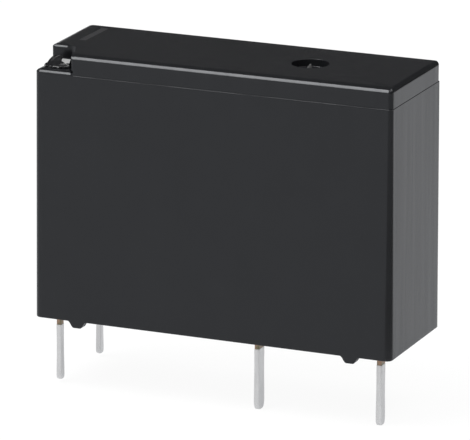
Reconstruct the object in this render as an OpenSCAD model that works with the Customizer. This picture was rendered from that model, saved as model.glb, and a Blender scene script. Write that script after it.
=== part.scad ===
// Slim PCB power relay with one normally open contact pair, in millimetres.
// X runs along the case from the coil end to the contact end, Y across it, Z up from the board.
// The board's upper face is z = 0, under the four standoff feet.

/* [Case] */
// Length of the case over its end faces
case_l = 20.3; // [18:0.1:24]
// Width of the case over its side faces
case_w = 7; // [6.2:0.1:9]
// Height of the top face above the board
case_h = 15; // [13:0.1:18]
// Thickness of the side and end walls
wall = 0.45; // [0.35:0.05:0.5]
// Thickness of the closed top
top_wall = 0.75; // [0.6:0.05:0.9]
// Radius of the upright edges and of the rim around the top
edge_r = 0.25; // [0.1:0.05:0.35]
// Depth of the mould's parting line below the top face
parting_drop = 1.1; // [1.05:0.05:2]
// Inset of the moulding above the parting line
parting_step = 0.04; // [0.02:0.01:0.08]
// Room left between the open stop inside the top and the raised card
stop_gap = 0.06; // [0.04:0.01:0.2]

/* [Standoff feet] */
// Height of the feet, which lift the case off the board
foot_h = 0.4; // [0.3:0.05:0.8]
// Length of a foot where it meets the case
foot_l = 1.05; // [0.8:0.05:1.6]
// Length of a foot where it stands on the board
foot_tip_l = 0.5; // [0.3:0.05:0.7]
// Radius of a foot's tip edges and root fillets
foot_r = 0.12; // [0.05:0.01:0.15]
// Width of a foot, inwards from the side face
foot_w = 0.7; // [0.5:0.05:0.9]
// Distance of a foot's middle from the end face
foot_inset = 2.27; // [2:0.01:4]

/* [Vent corner] */
// Length of the corner notch along the case
notch_l = 2.05; // [2:0.05:3]
// Width of the corner notch across the case
notch_w = 2; // [1.8:0.05:2.4]
// Depth of the notch floor below the top face
notch_drop = 0.97; // [0.7:0.01:1]
// Radius of the notch's inner corner
notch_r = 1.2; // [0.4:0.05:1.3]
// Radius of the rim along the notch floor
notch_rim_r = 0.12; // [0.05:0.01:0.14]
// Diameter of the heat-sealed vent nib
nib_d = 1.45; // [1:0.05:1.6]
// Height of the nib above the notch floor
nib_h = 0.56; // [0.2:0.02:0.6]
// Distance of the nib's middle from the end face
nib_from_end = 0.82; // [0.8:0.01:1.2]
// Distance of the nib's middle from the side face
nib_from_side = 1.1; // [0.9:0.05:1.3]

/* [Moulding gate] */
// Diameter of the round gate recess in the top
gate_d = 2; // [1.4:0.1:3]
// Depth of the gate recess
gate_depth = 0.4; // [0.3:0.05:0.5]
// Distance of the gate's middle from the contact end face
gate_from_end = 6; // [4:0.1:8]
// Diameter of the broken gate stub in the recess
stub_d = 0.7; // [0.4:0.05:0.9]
// Diameter of the stub's torn tip
stub_tip_d = 0.15; // [0.1:0.05:0.3]
// Height of the gate stub
stub_h = 0.36; // [0.1:0.02:0.4]

/* [Pins] */
// Length of the coil pins below the board's upper face
coil_pin_len = 3.2; // [2.5:0.1:5]
// Length of the contact pins below the board's upper face
contact_pin_len = 3.4; // [2.5:0.1:5]
// Distance of the pins' middles from the side faces
pin_side_inset = 0.96; // [0.9:0.02:1.2]
// Thickness of the terminal strip
strip_t = 0.27; // [0.2:0.01:0.3]
// Width of the coil pins
coil_pin_w = 0.4; // [0.3:0.05:0.5]
// Width of the fixed contact's pin
fixed_pin_w = 0.75; // [0.5:0.05:0.75]
// Width of the moving contact's pin
moving_pin_w = 0.6; // [0.5:0.05:0.75]
// Distance of the coil pins from the coil end face
coil_pin_inset = 0.95; // [0.9:0.05:1.1]
// Distance of the moving contact's pin from the contact end face
moving_pin_inset = 0.85; // [0.75:0.05:1]
// Distance between the two contact pins
contact_pitch = 6.9; // [6.8:0.05:7.2]
// Radius of the pins' long edges, softened by the solder dip
pin_edge_r = 0.07; // [0.03:0.01:0.09]
// Bend radius inside the folded terminal strips
strip_bend_r = 0.25; // [0.15:0.05:0.3]

/* [Base and seal] */
// Thickness of the base plate
base_t = 1.1; // [0.9:0.05:1.3]
// Thickness of the sealing resin under the base plate
resin_t = 0.4; // [0.3:0.05:0.6]
// Depth of the resin's surface inside the case's lower edge
resin_recess = 0.15; // [0.05:0.05:0.3]
// Gap between the base plate and the case walls
base_gap = 0.05; // [0.03:0.01:0.08]
// Clearance around a terminal strip in its slot
slot_clear = 0.03; // [0.02:0.01:0.05]
// Thickness of the barrier between coil and contacts
barrier_t = 0.55; // [0.4:0.05:0.6]
// Gap between the bobbin's flanges and the barrier
barrier_gap = 0.25; // [0.15:0.05:0.3]
// Clearance of the card above the barrier when the armature is closed
barrier_drop = 0.45; // [0.3:0.05:0.8]
// Thickness of the rails beside the yoke and of the terminal supports
rail_t = 0.5; // [0.4:0.05:0.7]
// Height of the terminal supports above the base plate
support_h = 3.4; // [2:0.1:4.5]

/* [Magnet] */
// Thickness of the yoke strip
yoke_t = 1; // [0.8:0.05:1.1]
// Gap between the yoke strip and the coil pins
yoke_gap = 0.44; // [0.4:0.02:0.8]
// Radius inside the yoke's bend
yoke_bend_r = 0.2; // [0.1:0.05:0.3]
// Room between the end wall and the yoke's back
hinge_room = 0.4; // [0.35:0.05:0.5]
// Width of the two horns on the yoke's upper edge
horn_w = 0.5; // [0.3:0.05:0.7]
// Height of the horns above the pole face
horn_h = 0.6; // [0.4:0.05:0.9]
// Clearance between the horns and the armature's rear
horn_clear = 0.06; // [0.04:0.01:0.1]
// Length of the yoke's lower leg past the core
yoke_toe = 0.6; // [0.4:0.05:1]
// Width of the core
core_w = 2; // [1.8:0.05:2.2]
// Clearance between the core and the bobbin
core_clear = 0.05; // [0.03:0.01:0.1]
// Overhang of the pole head beyond the core
head_over = 0.55; // [0.4:0.05:0.7]
// Thickness of the pole head
head_t = 0.7; // [0.5:0.05:0.9]
// Wall of the bobbin tube
tube_t = 0.45; // [0.35:0.05:0.55]
// Thickness of the bobbin's lower flange
lower_flange_t = 0.7; // [0.6:0.05:0.9]
// Thickness of the bobbin's upper flange
upper_flange_t = 0.6; // [0.5:0.05:0.8]
// Overhang of the flanges beyond the winding
flange_over = 0.1; // [0.05:0.05:0.2]
// Gap between the winding and the side walls
winding_gap = 0.25; // [0.2:0.05:0.5]
// Height of the room above the pole face, for the armature and the card
arm_room = 2.9; // [2.8:0.05:3.5]
// Gap between the bobbin's flanges and the yoke's bend
coil_gap = 0.05; // [0.02:0.01:0.1]
// Length of the winding posts above the lower flange
post_h = 1.5; // [1.2:0.1:2]
// Diameter of the lead wire
lead_d = 0.14; // [0.1:0.02:0.2]
// Diameter of the wire wrapped on a post
wrap_d = 0.72; // [0.6:0.02:0.8]
// Height of the wrapped turns
wrap_h = 0.7; // [0.5:0.05:0.8]
// Height of the solder on top of the wrapped turns
solder_h = 0.34; // [0.2:0.02:0.4]

/* [Armature] */
// Thickness of the armature
arm_t = 1; // [0.8:0.05:1.1]
// Inset of the armature's sides from the winding's sides
arm_inset = 0.4; // [0.3:0.05:0.7]
// Width of the tongue that carries the card
tongue_w = 2.4; // [2:0.1:2.8]
// Length of the tongue
tongue_l = 1.9; // [1.6:0.05:2]
// Residual gap between the closed armature and the pole
residual_gap = 0.05; // [0.03:0.01:0.08]
// Opening angle of the released armature
arm_open = 3; // [2:0.1:3.2]
// Distance of the armature's rear edge from the pivot
rear_inset = 0.1; // [0.08:0.02:0.2]
// Thickness of the hinge spring leaf
hinge_leaf_t = 0.12; // [0.08:0.01:0.14]
// Width of the hinge spring leaf
hinge_leaf_w = 2.6; // [2:0.1:3.2]
// Radius inside the hinge spring's bend
hinge_bend_r = 0.4; // [0.35:0.05:0.45]
// Length of the hinge spring's arm over the armature
hinge_arm_l = 1.5; // [1:0.1:2]
// Clearance between the hinge spring and the armature
hinge_clear = 0.05; // [0.04:0.01:0.08]
// Depth of the upper stud below the pole face
stud_drop = 2.8; // [2:0.1:3.5]
// Distance between the two studs
stud_pitch = 2.3; // [1.8:0.1:3]
// Diameter of the studs that hold the hinge spring
stud_d = 0.8; // [0.6:0.05:1]
// Clearance around rivets and studs in a leaf
rivet_clear = 0.02; // [0.01:0.01:0.04]

/* [Card] */
// Wall of the card's sleeve around the tongue
sleeve_t = 0.45; // [0.35:0.05:0.5]
// Length of the sleeve on the tongue
sleeve_l = 1.4; // [1:0.1:1.5]
// Thickness of the pushing finger
finger_t = 0.6; // [0.5:0.05:0.7]
// Width of the pushing finger
finger_w = 2.4; // [1.6:0.1:2.8]
// Gap between the finger and the released leaf
finger_gap = 0.05; // [0.04:0.01:0.08]
// Gap between the finger and the contact rivet beside it
finger_room = 0.4; // [0.3:0.05:0.6]
// Gap between the closed finger and the barrier
finger_swing = 0.3; // [0.25:0.05:0.5]
// Wall between the tongue's end and the finger
card_wall = 0.3; // [0.2:0.05:0.5]

/* [Contacts] */
// Depth of the contact leaf's underside below the pole face
leaf_drop = 2; // [1.9:0.05:2.4]
// Thickness of the contact leaf
leaf_t = 0.15; // [0.1:0.01:0.2]
// Width of the contact leaf at its root
leaf_w = 3.4; // [3:0.1:3.8]
// Width of the contact leaf at its free end
leaf_tip_w = 2.6; // [2.4:0.1:2.8]
// Length of the leaf beyond the finger
leaf_tail = 0.4; // [0.35:0.05:0.5]
// Length of the leaf's shelf past the heads of its rivets
shelf_lip = 0.075; // [0.05:0.025:0.3]
// Gap between a rivet's upset end and the bend of its strip
bend_clear = 0.05; // [0.03:0.01:0.1]
// Diameter of the contact faces
contact_d = 2; // [1.6:0.1:2]
// Height of a contact's head
contact_h = 0.45; // [0.4:0.05:0.55]
// Radius of the moving contact's domed face
dome_r = 3; // [2.5:0.1:5]
// Height left between the contacts when the armature is closed
contact_slack = 0.04; // [0.03:0.01:0.06]
// Diameter of the contact rivets' shanks
shank_d = 1; // [0.8:0.05:1.1]
// Diameter of the upset ends of the rivets
upset_d = 1.4; // [1.3:0.05:1.5]
// Height of the upset ends of the rivets
upset_h = 0.25; // [0.15:0.05:0.3]
// Diameter of the leaf's rivets
leaf_rivet_d = 0.8; // [0.6:0.05:0.9]
// Diameter of the heads of the leaf's rivets
leaf_rivet_head_d = 1.2; // [1.1:0.05:1.25]
// Distance between the leaf's two rivets
leaf_rivet_pitch = 1.8; // [1.6:0.1:2]

/* [Hidden] */
$fn = 64;
// Overrun of a cut past the face that it opens
over = 0.2;

// Inside of the case
in_l = case_l / 2 - wall;
in_w = case_w / 2 - wall;
ceiling_z = case_h - top_wall;
notch_z = case_h - notch_drop;
notch_x = -case_l / 2 + notch_l;
notch_y = -case_w / 2 + notch_w;
parting_z = case_h - parting_drop;

// Levels of the base and of the magnet
resin_z = foot_h + resin_recess;
base_z = resin_z + resin_t;
deck_z = base_z + base_t;
leg_z = deck_z + yoke_t;
winding_z = leg_z + lower_flange_t;
pole_z = ceiling_z - arm_room;
head_z = pole_z - head_t;
upper_flange_z = head_z - upper_flange_t;
stud_z = [for (step = [0, 1]) pole_z - stud_drop - step * stud_pitch];

// Places across the case
row_y = case_w / 2 - pin_side_inset;
yoke_w = 2 * row_y - coil_pin_w - 2 * yoke_gap;
winding_w = 2 * in_w - 2 * winding_gap;
flange_w = winding_w + 2 * flange_over;
tube_w = core_w + 2 * core_clear + 2 * tube_t;
arm_w = winding_w - 2 * arm_inset;
plate_y = leaf_w / 2;
plate_z = deck_z + rail_t / 2;

// Stations along the case from the contact end
moving_pin_x = case_l / 2 - moving_pin_inset;
fixed_pin_x = moving_pin_x - contact_pitch;
shelf_l = strip_t + strip_bend_r + bend_clear + leaf_rivet_head_d + shelf_lip;
root_x = moving_pin_x + strip_t / 2 - shelf_l;
leaf_rivet_x = root_x + shelf_lip + leaf_rivet_head_d / 2;
contact_x = fixed_pin_x + strip_t / 2 + strip_bend_r + bend_clear + upset_d / 2;
finger_x = contact_x - upset_d / 2 - finger_room - finger_t / 2;

// The armature turns about the yoke's upper outer edge
coil_pin_x = -case_l / 2 + coil_pin_inset;
yoke_x = -in_l + hinge_room;
upright_x = yoke_x + yoke_t;
pivot = [yoke_x, pole_z];
arm_z = pole_z + residual_gap;
rear_bevel = hinge_bend_r + 2 * hinge_clear;

// Point [x, z] turned about +Y by an angle
function swing(p, a) = [p[0] * cos(a) + p[1] * sin(a), -p[0] * sin(a) + p[1] * cos(a)];

// Points of the arc that rounds corner b, between its neighbours a and c
function corner_arc(a, b, c, r, steps = 5) =
  let (
    u = (a - b) / norm(a - b),
    v = (c - b) / norm(c - b),
    half = acos(u * v) / 2,
    centre = b + r / sin(half) * (u + v) / norm(u + v),
    from = b + r / tan(half) * u - centre,
    to = b + r / tan(half) * v - centre,
    first = atan2(from[1], from[0]),
    turn = atan2(from[0] * to[1] - from[1] * to[0], from * to)
  )
  [for (i = [0:steps]) centre + r * [cos(first + turn * i / steps), sin(first + turn * i / steps)]];

// The finger's rounded tip rests just over the leaf, and its place on the closed armature follows
leaf_z = pole_z - leaf_drop;
leaf_top_z = leaf_z + leaf_t;
tip_rest = [finger_x, leaf_top_z + finger_gap + finger_t / 2];
tip_closed = pivot + swing(tip_rest - pivot, arm_open);
card_top_z = arm_z + arm_t + sleeve_t;
card_end_x = tip_closed[0] + finger_t / 2;
card_peak = pivot + swing([card_end_x, card_top_z] - pivot, -arm_open);
tongue_end_x = card_end_x - finger_t - card_wall;
tongue_x = tongue_end_x - tongue_l;
sleeve_x = tongue_end_x - sleeve_l;

// The coil fills the room between the yoke's bend and the barrier
barrier_x = card_end_x - finger_t - finger_swing - barrier_t;
flange_x = upright_x + yoke_bend_r + coil_gap;
flange_l = barrier_x - barrier_gap - flange_x;
coil_x = flange_x + flange_l / 2;
coil_straight = flange_l - 2 * flange_over - winding_w;
// The wrapped turns start a quarter of the way up the winding posts
wrap_z = winding_z + post_h / 4;

// Angle by which the closed armature bends the leaf, with the same gap under the finger
tip_from_root = tip_closed - [root_x, leaf_z];
leaf_bend = asin((leaf_t + finger_gap + finger_t / 2) / norm(tip_from_root))
          - atan2(tip_from_root[1], -tip_from_root[0]);

// The fixed contact's face lies under the lowest point of the closed moving contact's dome
dome_rest = [contact_x - root_x, dome_r - contact_h];
dome_closed = swing(dome_rest, -leaf_bend);
fixed_face_z = leaf_z + dome_closed[1] - dome_r - contact_slack;
fixed_shelf_z = fixed_face_z - contact_h;
fixed_shelf_l = contact_x + contact_d / 2 + strip_bend_r - (fixed_pin_x - strip_t / 2);

// Hinge spring's bend, set so that its arm lies along the released armature
hinge_lift = residual_gap + arm_t + hinge_clear - hinge_bend_r;
hinge_bend = pivot + [hinge_bend_r, (hinge_lift + hinge_bend_r * sin(arm_open)) / cos(arm_open)];

echo(pivot = pivot, leaf_root = [root_x, leaf_z], leaf_bend = leaf_bend, ratio = leaf_bend / arm_open);

// Rectangle between two corners with rounded corners
module round_rect(x0, x1, y0, y1, r) {
  translate([x0 + r, y0]) square([x1 - x0 - 2 * r, y1 - y0]);
  translate([x0, y0 + r]) square([x1 - x0, y1 - y0 - 2 * r]);
  for (x = [x0 + r, x1 - r], y = [y0 + r, y1 - r]) translate([x, y]) circle(r);
}

// Upright outline whose two upper corners are rounded
module arched(a0, a1, z0, z1, r) {
  translate([a0, z0]) square([a1 - a0, z1 - z0 - r]);
  translate([a0 + r, z0]) square([a1 - a0 - 2 * r, z1 - z0]);
  for (a = [a0 + r, a1 - r]) translate([a, z1 - r]) circle(r);
}

// Block with rounded upright edges and a rounded upper rim
module soft_block(x0, x1, y0, y1, z0, z1, r) {
  intersection() {
    translate([0, 0, z0]) linear_extrude(z1 - z0) round_rect(x0, x1, y0, y1, r);
    translate([0, y1 + over, 0]) rotate([90, 0, 0])
      linear_extrude(y1 - y0 + 2 * over) arched(x0, x1, z0 - over, z1, r);
    translate([x0 - over, 0, 0]) rotate([90, 0, 90])
      linear_extrude(x1 - x0 + 2 * over) arched(y0, y1, z0 - over, z1, r);
  }
}

// Flattened round column on the coil's axis
module coil_column(w, z0, z1) {
  translate([coil_x, 0, z0]) linear_extrude(z1 - z0) {
    square([coil_straight, w], center = true);
    for (side = [-1, 1]) translate([side * coil_straight / 2, 0]) circle(d = w);
  }
}

// Outline of a strip folded once at a right angle, with its outer corner at the origin
module bent_profile(t, r, leg, rise) {
  corner = r + t;
  translate([0, corner]) square([t, rise - corner]);
  translate([corner, 0]) square([leg - corner, t]);
  intersection() {
    translate([corner, corner]) difference() {
      circle(corner);
      circle(r);
    }
    square(corner);
  }
}

// Flat pin with a full round tip and softened long edges, its thickness along X
module blade(x, y, w, len, z_top) {
  tip_z = w / 2 - len;
  translate([x, y, 0]) intersection() {
    translate([0, 0, -len - over]) linear_extrude(z_top + len + over)
      round_rect(-strip_t / 2, strip_t / 2, -w / 2, w / 2, pin_edge_r);
    translate([-strip_t, 0, 0]) rotate([90, 0, 90]) linear_extrude(2 * strip_t) {
      translate([-w / 2, tip_z]) square([w, z_top + over - tip_z]);
      translate([0, tip_z]) circle(d = w);
    }
  }
}

// Room for a pin in the base, the resin or the bobbin
module slot(x, y, w, z0, z1, clear) {
  translate([x - strip_t / 2 - clear, y - w / 2 - clear, z0])
    cube([strip_t + 2 * clear, w + 2 * clear, z1 - z0]);
}

// Room for all four pins
module pin_slots(z0, z1, clear) {
  for (y = [-row_y, row_y]) slot(coil_pin_x, y, coil_pin_w, z0, z1, clear);
  slot(fixed_pin_x, -row_y, fixed_pin_w, z0, z1, clear);
  slot(moving_pin_x, -row_y, moving_pin_w, z0, z1, clear);
}

// Terminal strip that rises from its pin and folds over into a shelf towards +X
module shelf_terminal(pin_w, z_top, shelf) {
  blade(0, -row_y, pin_w, contact_pin_len, plate_z + strip_t);
  translate([-strip_t / 2, plate_y, z_top]) mirror([0, 0, 1]) rotate([90, 0, 0])
    linear_extrude(plate_y + row_y + pin_w / 2)
      bent_profile(strip_t, strip_bend_r, shelf, z_top - plate_z);
}

// Carries closed-armature geometry to the released position
module released() {
  translate([pivot[0], 0, pivot[1]]) rotate([0, -arm_open, 0])
    translate([-pivot[0], 0, -pivot[1]]) children();
}

// Rivet on the Z axis: its head hangs below z = 0, its shank passes a plate of thickness t
module contact_rivet(t) {
  translate([0, 0, -contact_h / 2]) cylinder(d = shank_d, h = contact_h / 2 + t + upset_h / 2);
  translate([0, 0, t]) cylinder(d1 = upset_d, d2 = shank_d, h = upset_h);
}

// Walls of the case from the lower edge to the top, without the corner notch
module case_shape() {
  x = case_l / 2;
  y = case_w / 2;
  s = parting_step;
  translate([0, 0, foot_h]) linear_extrude(parting_z - foot_h) round_rect(-x, x, -y, y, edge_r);
  soft_block(-x + s, x - s, -y + s, y - s, parting_z - over, notch_z, notch_rim_r);
  soft_block(notch_x, x - s, -y + s, y - s, parting_z - over, case_h, edge_r);
  soft_block(-x + s, x - s, notch_y, y - s, parting_z - over, case_h, edge_r);
  notch_corner();
}

// Rounded inner corner of the notch, with the same rounded rim
module notch_corner() {
  translate([notch_x - notch_r, notch_y - notch_r, 0]) rotate_extrude(angle = 90)
    arched(notch_r, notch_r * 2, notch_z - over, case_h, edge_r);
}

// Trapezoid foot with rounded tip edges and filleted roots, flush with the side face
module foot() {
  root = [[-foot_l / 2, foot_h], [foot_l / 2, foot_h]];
  tip = [[-foot_tip_l / 2, 0], [foot_tip_l / 2, 0]];
  brim = foot_l / 2 + foot_r;
  rotate([90, 0, 0]) linear_extrude(foot_w, center = true)
    polygon(concat(
      [[brim, resin_z], [-brim, resin_z], [-brim, foot_h]],
      corner_arc([-brim, foot_h], root[0], tip[0], foot_r),
      corner_arc(root[0], tip[0], tip[1], foot_r),
      corner_arc(tip[0], tip[1], root[1], foot_r),
      corner_arc(tip[1], root[1], [brim, foot_h], foot_r),
      [[brim, foot_h]]
    ));
}

// Melted vent nib: a flat button with a full round rim, one with the moulding down to the parting line
module nib() {
  rim = nib_h / 2;
  root = notch_z - parting_z;
  rotate_extrude() {
    translate([0, -root]) square([nib_d / 2 - rim, nib_h + root]);
    intersection() {
      translate([nib_d / 2 - rim, rim]) circle(rim);
      square([nib_d / 2, nib_h]);
    }
  }
}

// Space inside the case, lower under the notch
module cavity() {
  translate([-in_l, -in_w, foot_h - over]) cube([2 * in_l, 2 * in_w, notch_z - top_wall - foot_h + over]);
  difference() {
    translate([-in_l, -in_w, foot_h]) cube([2 * in_l, 2 * in_w, ceiling_z - foot_h]);
    translate([-case_l / 2, -case_w / 2, notch_z - top_wall])
      cube([notch_l + wall, notch_w + wall, case_h]);
  }
}

// Ring-shaped cut of the gate recess, which leaves the torn stub standing on its floor
module gate_cut() {
  difference() {
    cylinder(d = gate_d, h = gate_depth + over);
    cylinder(d1 = stub_d, d2 = stub_tip_d, h = stub_h);
  }
}

module case() {
  color([0.2, 0.2, 0.21]) {
    difference() {
      case_shape();
      cavity();
      translate([case_l / 2 - gate_from_end, 0, case_h - gate_depth]) gate_cut();
    }
    translate([-case_l / 2 + nib_from_end, -case_w / 2 + nib_from_side, notch_z]) nib();
    for (x = [-1, 1], y = [-1, 1])
      translate([x * (case_l / 2 - foot_inset), y * (case_w - foot_w) / 2, 0]) foot();
    translate([card_peak[0] - finger_t, -finger_w / 2, card_peak[1] + stop_gap])
      cube([finger_t, finger_w, ceiling_z + over - card_peak[1] - stop_gap]);
  }
}

module base() {
  plate_l = in_l - base_gap;
  plate_w = in_w - base_gap;
  barrier_top = arm_z - sleeve_t - barrier_drop;
  rail_y = yoke_w / 2 + slot_clear;
  support_w = leaf_w - 2 * rail_t;
  color([0.25, 0.25, 0.27]) difference() {
    union() {
      translate([-plate_l, -plate_w, base_z]) cube([2 * plate_l, 2 * plate_w, base_t]);
      translate([barrier_x, -plate_w, deck_z - over])
        cube([barrier_t, 2 * plate_w, barrier_top - deck_z + over]);
      for (y = [-rail_y - rail_t, rail_y])
        translate([upright_x, y, deck_z - over])
          cube([barrier_x - upright_x, rail_t, yoke_t + over]);
      translate([fixed_pin_x + strip_t / 2 + slot_clear, -support_w / 2, deck_z - over])
        cube([rail_t, support_w, support_h + over]);
      translate([moving_pin_x - strip_t / 2 - slot_clear - rail_t, -support_w / 2, deck_z - over])
        cube([rail_t, support_w, support_h + over]);
    }
    pin_slots(base_z - over, deck_z + over, slot_clear);
  }
}

module sealing_resin() {
  color([0.16, 0.16, 0.17]) difference() {
    translate([-in_l, -in_w, resin_z]) cube([2 * in_l, 2 * in_w, resin_t]);
    pin_slots(resin_z - over, base_z + over, 0);
  }
}

// Coil pin and winding post in one strip, on one side of the case
module coil_terminal(side) {
  color([0.78, 0.78, 0.76])
    blade(coil_pin_x, side * row_y, coil_pin_w, coil_pin_len, winding_z + post_h);
}

module coil_terminal_front() {
  coil_terminal(-1);
}

module coil_terminal_rear() {
  coil_terminal(1);
}

module fixed_terminal() {
  color([0.8, 0.8, 0.78]) difference() {
    translate([fixed_pin_x, 0, 0]) shelf_terminal(fixed_pin_w, fixed_shelf_z, fixed_shelf_l);
    translate([contact_x, 0, fixed_shelf_z - strip_t - over])
      cylinder(d = shank_d + 2 * rivet_clear, h = strip_t + 2 * over);
  }
}

module moving_terminal() {
  color([0.8, 0.8, 0.78]) difference() {
    translate([moving_pin_x, 0, 0]) mirror([1, 0, 0]) shelf_terminal(moving_pin_w, leaf_z, shelf_l);
    leaf_rivet_places() translate([0, 0, -strip_t - over])
      cylinder(d = leaf_rivet_d + 2 * rivet_clear, h = strip_t + 2 * over);
  }
}

module bobbin() {
  ear_w = row_y + coil_pin_w / 2 - yoke_w / 2;
  ear_y = yoke_w / 2 + slot_clear + rail_t / 4;
  color([0.86, 0.83, 0.72]) difference() {
    union() {
      coil_column(tube_w, leg_z, head_z);
      for (level = [[leg_z, lower_flange_t], [upper_flange_z, upper_flange_t]])
        translate([0, 0, level[0]]) linear_extrude(level[1])
          round_rect(coil_x - flange_l / 2, coil_x + flange_l / 2, -flange_w / 2, flange_w / 2, edge_r);
      for (side = [-1, 1])
        translate([-in_l + base_gap, side > 0 ? ear_y : -ear_y - ear_w, leg_z])
          cube([flange_x + ear_w + in_l - base_gap, ear_w, lower_flange_t]);
    }
    coil_column(core_w + 2 * core_clear, leg_z - over, head_z + over);
    pin_slots(leg_z - over, winding_z + over, slot_clear);
  }
}

// Calls its children at the foot of the wrapped turns on each winding post
module wrap_places() {
  for (side = [-1, 1])
    translate([coil_pin_x, side * row_y, wrap_z]) children();
}

module coil_winding() {
  lead_y = winding_w / 2 - lead_d * 4;
  lead_x = coil_x - coil_straight / 2 - sqrt(pow(winding_w / 2, 2) - pow(lead_y, 2));
  run = [lead_x - coil_pin_x, lead_y - row_y];
  color([0.66, 0.34, 0.14]) {
    difference() {
      coil_column(winding_w, winding_z, upper_flange_z);
      coil_column(tube_w + 2 * rivet_clear, winding_z - over, upper_flange_z + over);
    }
    difference() {
      union() {
        wrap_places() cylinder(d = wrap_d, h = wrap_h);
        for (side = [-1, 1])
          translate([coil_pin_x, side * row_y, wrap_z + wrap_h / 2])
            rotate([0, 90, side * atan2(run[1], run[0])])
              cylinder(d = lead_d, h = norm(run) + lead_d * 2);
      }
      pin_slots(winding_z, winding_z + post_h + over, 0);
    }
  }
}

module coil_solder_joints() {
  color([0.75, 0.76, 0.78]) difference() {
    wrap_places() translate([0, 0, wrap_h]) cylinder(d1 = wrap_d, d2 = coil_pin_w, h = solder_h);
    pin_slots(winding_z, winding_z + post_h + over, 0);
  }
}

module core() {
  color([0.62, 0.62, 0.63]) {
    coil_column(core_w, deck_z, pole_z);
    coil_column(core_w + 2 * head_over, head_z, pole_z);
  }
}

module yoke() {
  leg_l = coil_x + (coil_straight + core_w) / 2 + yoke_toe - yoke_x;
  color([0.6, 0.6, 0.62]) {
    difference() {
      translate([yoke_x, yoke_w / 2, deck_z]) rotate([90, 0, 0]) linear_extrude(yoke_w)
        bent_profile(yoke_t, yoke_bend_r, leg_l, pole_z - deck_z);
      coil_column(core_w + 2 * rivet_clear, deck_z - over, leg_z + over);
    }
    for (y = [-yoke_w / 2, yoke_w / 2 - horn_w])
      translate([yoke_x, y, pole_z - over]) cube([yoke_t, horn_w, horn_h + over]);
    for (z = stud_z) translate([yoke_x + over, 0, z]) rotate([0, -90, 0])
      cylinder(d = stud_d, h = hinge_leaf_t * 2 + over);
  }
}

module hinge_spring() {
  outer = hinge_bend_r + hinge_leaf_t;
  tail_z = stud_z[1] - stud_d;
  color([0.72, 0.62, 0.42]) difference() {
    translate([0, hinge_leaf_w / 2, 0]) rotate([90, 0, 0]) linear_extrude(hinge_leaf_w) {
      translate([yoke_x - hinge_leaf_t, tail_z]) square([hinge_leaf_t, hinge_bend[1] - tail_z]);
      translate(hinge_bend) {
        intersection() {
          difference() {
            circle(outer);
            circle(hinge_bend_r);
          }
          polygon([[0, 0], [-2 * outer, 0], [-2 * outer, 2 * outer], 2 * outer * [-sin(arm_open), 1]]);
        }
        rotate(arm_open) translate([0, hinge_bend_r]) square([hinge_arm_l, hinge_leaf_t]);
      }
    }
    for (z = stud_z) translate([yoke_x + over, 0, z]) rotate([0, -90, 0])
      cylinder(d = stud_d + 2 * rivet_clear, h = hinge_leaf_t + 2 * over);
  }
}

module armature() {
  rear_x = yoke_x + rear_inset;
  rear_w = yoke_w - 2 * horn_w - 2 * horn_clear;
  shoulder_x = upright_x + yoke_bend_r;
  top_z = arm_z + arm_t;
  color([0.64, 0.64, 0.65]) released() intersection() {
    translate([0, 0, arm_z]) linear_extrude(arm_t) {
      translate([rear_x, -rear_w / 2]) square([tongue_x - rear_x, rear_w]);
      round_rect(shoulder_x, tongue_x, -arm_w / 2, arm_w / 2, edge_r);
      translate([tongue_x - over, -tongue_w / 2]) square([tongue_l + over, tongue_w]);
    }
    translate([0, arm_w / 2 + over, 0]) rotate([90, 0, 0]) linear_extrude(arm_w + 2 * over)
      polygon([
        [rear_x, arm_z], [tongue_end_x, arm_z], [tongue_end_x, top_z],
        [rear_x + rear_bevel, top_z], [rear_x, top_z - rear_bevel]
      ]);
  }
}

module card() {
  sleeve_w = tongue_w + 2 * sleeve_t;
  sleeve_h = arm_t + 2 * sleeve_t;
  color([0.9, 0.88, 0.8]) released() difference() {
    union() {
      translate([sleeve_x, -sleeve_w / 2, arm_z - sleeve_t])
        cube([card_end_x - sleeve_x, sleeve_w, sleeve_h]);
      translate([card_end_x - finger_t, -finger_w / 2, tip_closed[1]])
        cube([finger_t, finger_w, card_top_z - tip_closed[1]]);
      translate([tip_closed[0], finger_w / 2, tip_closed[1]]) rotate([90, 0, 0])
        cylinder(d = finger_t, h = finger_w);
    }
    translate([sleeve_x - over, -tongue_w / 2, arm_z])
      cube([tongue_end_x - sleeve_x + over, tongue_w, arm_t]);
  }
}

// Calls its children at the leaf's two rivets, on the underside of the leaf
module leaf_rivet_places() {
  for (side = [-1, 1])
    translate([leaf_rivet_x, side * leaf_rivet_pitch / 2, leaf_z]) children();
}

module moving_spring() {
  tip_x = finger_x - leaf_tail;
  color([0.74, 0.5, 0.3]) difference() {
    translate([0, 0, leaf_z]) linear_extrude(leaf_t)
      polygon([
        [tip_x, -leaf_tip_w / 2], [contact_x, -leaf_tip_w / 2], [root_x, -leaf_w / 2],
        [moving_pin_x, -leaf_w / 2], [moving_pin_x, leaf_w / 2], [root_x, leaf_w / 2],
        [contact_x, leaf_tip_w / 2], [tip_x, leaf_tip_w / 2]
      ]);
    translate([contact_x, 0, leaf_z - over])
      cylinder(d = shank_d + 2 * rivet_clear, h = leaf_t + 2 * over);
    leaf_rivet_places() translate([0, 0, -over])
      cylinder(d = leaf_rivet_d + 2 * rivet_clear, h = leaf_t + 2 * over);
  }
}

module moving_contact() {
  color([0.82, 0.82, 0.8]) translate([contact_x, 0, leaf_z]) {
    contact_rivet(leaf_t);
    intersection() {
      translate([0, 0, -contact_h]) cylinder(d = contact_d, h = contact_h);
      translate([0, 0, dome_r - contact_h]) sphere(dome_r);
    }
  }
}

module fixed_contact() {
  color([0.82, 0.82, 0.8]) translate([contact_x, 0, fixed_shelf_z]) {
    mirror([0, 0, 1]) contact_rivet(strip_t);
    cylinder(d = contact_d, h = contact_h);
  }
}

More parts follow.
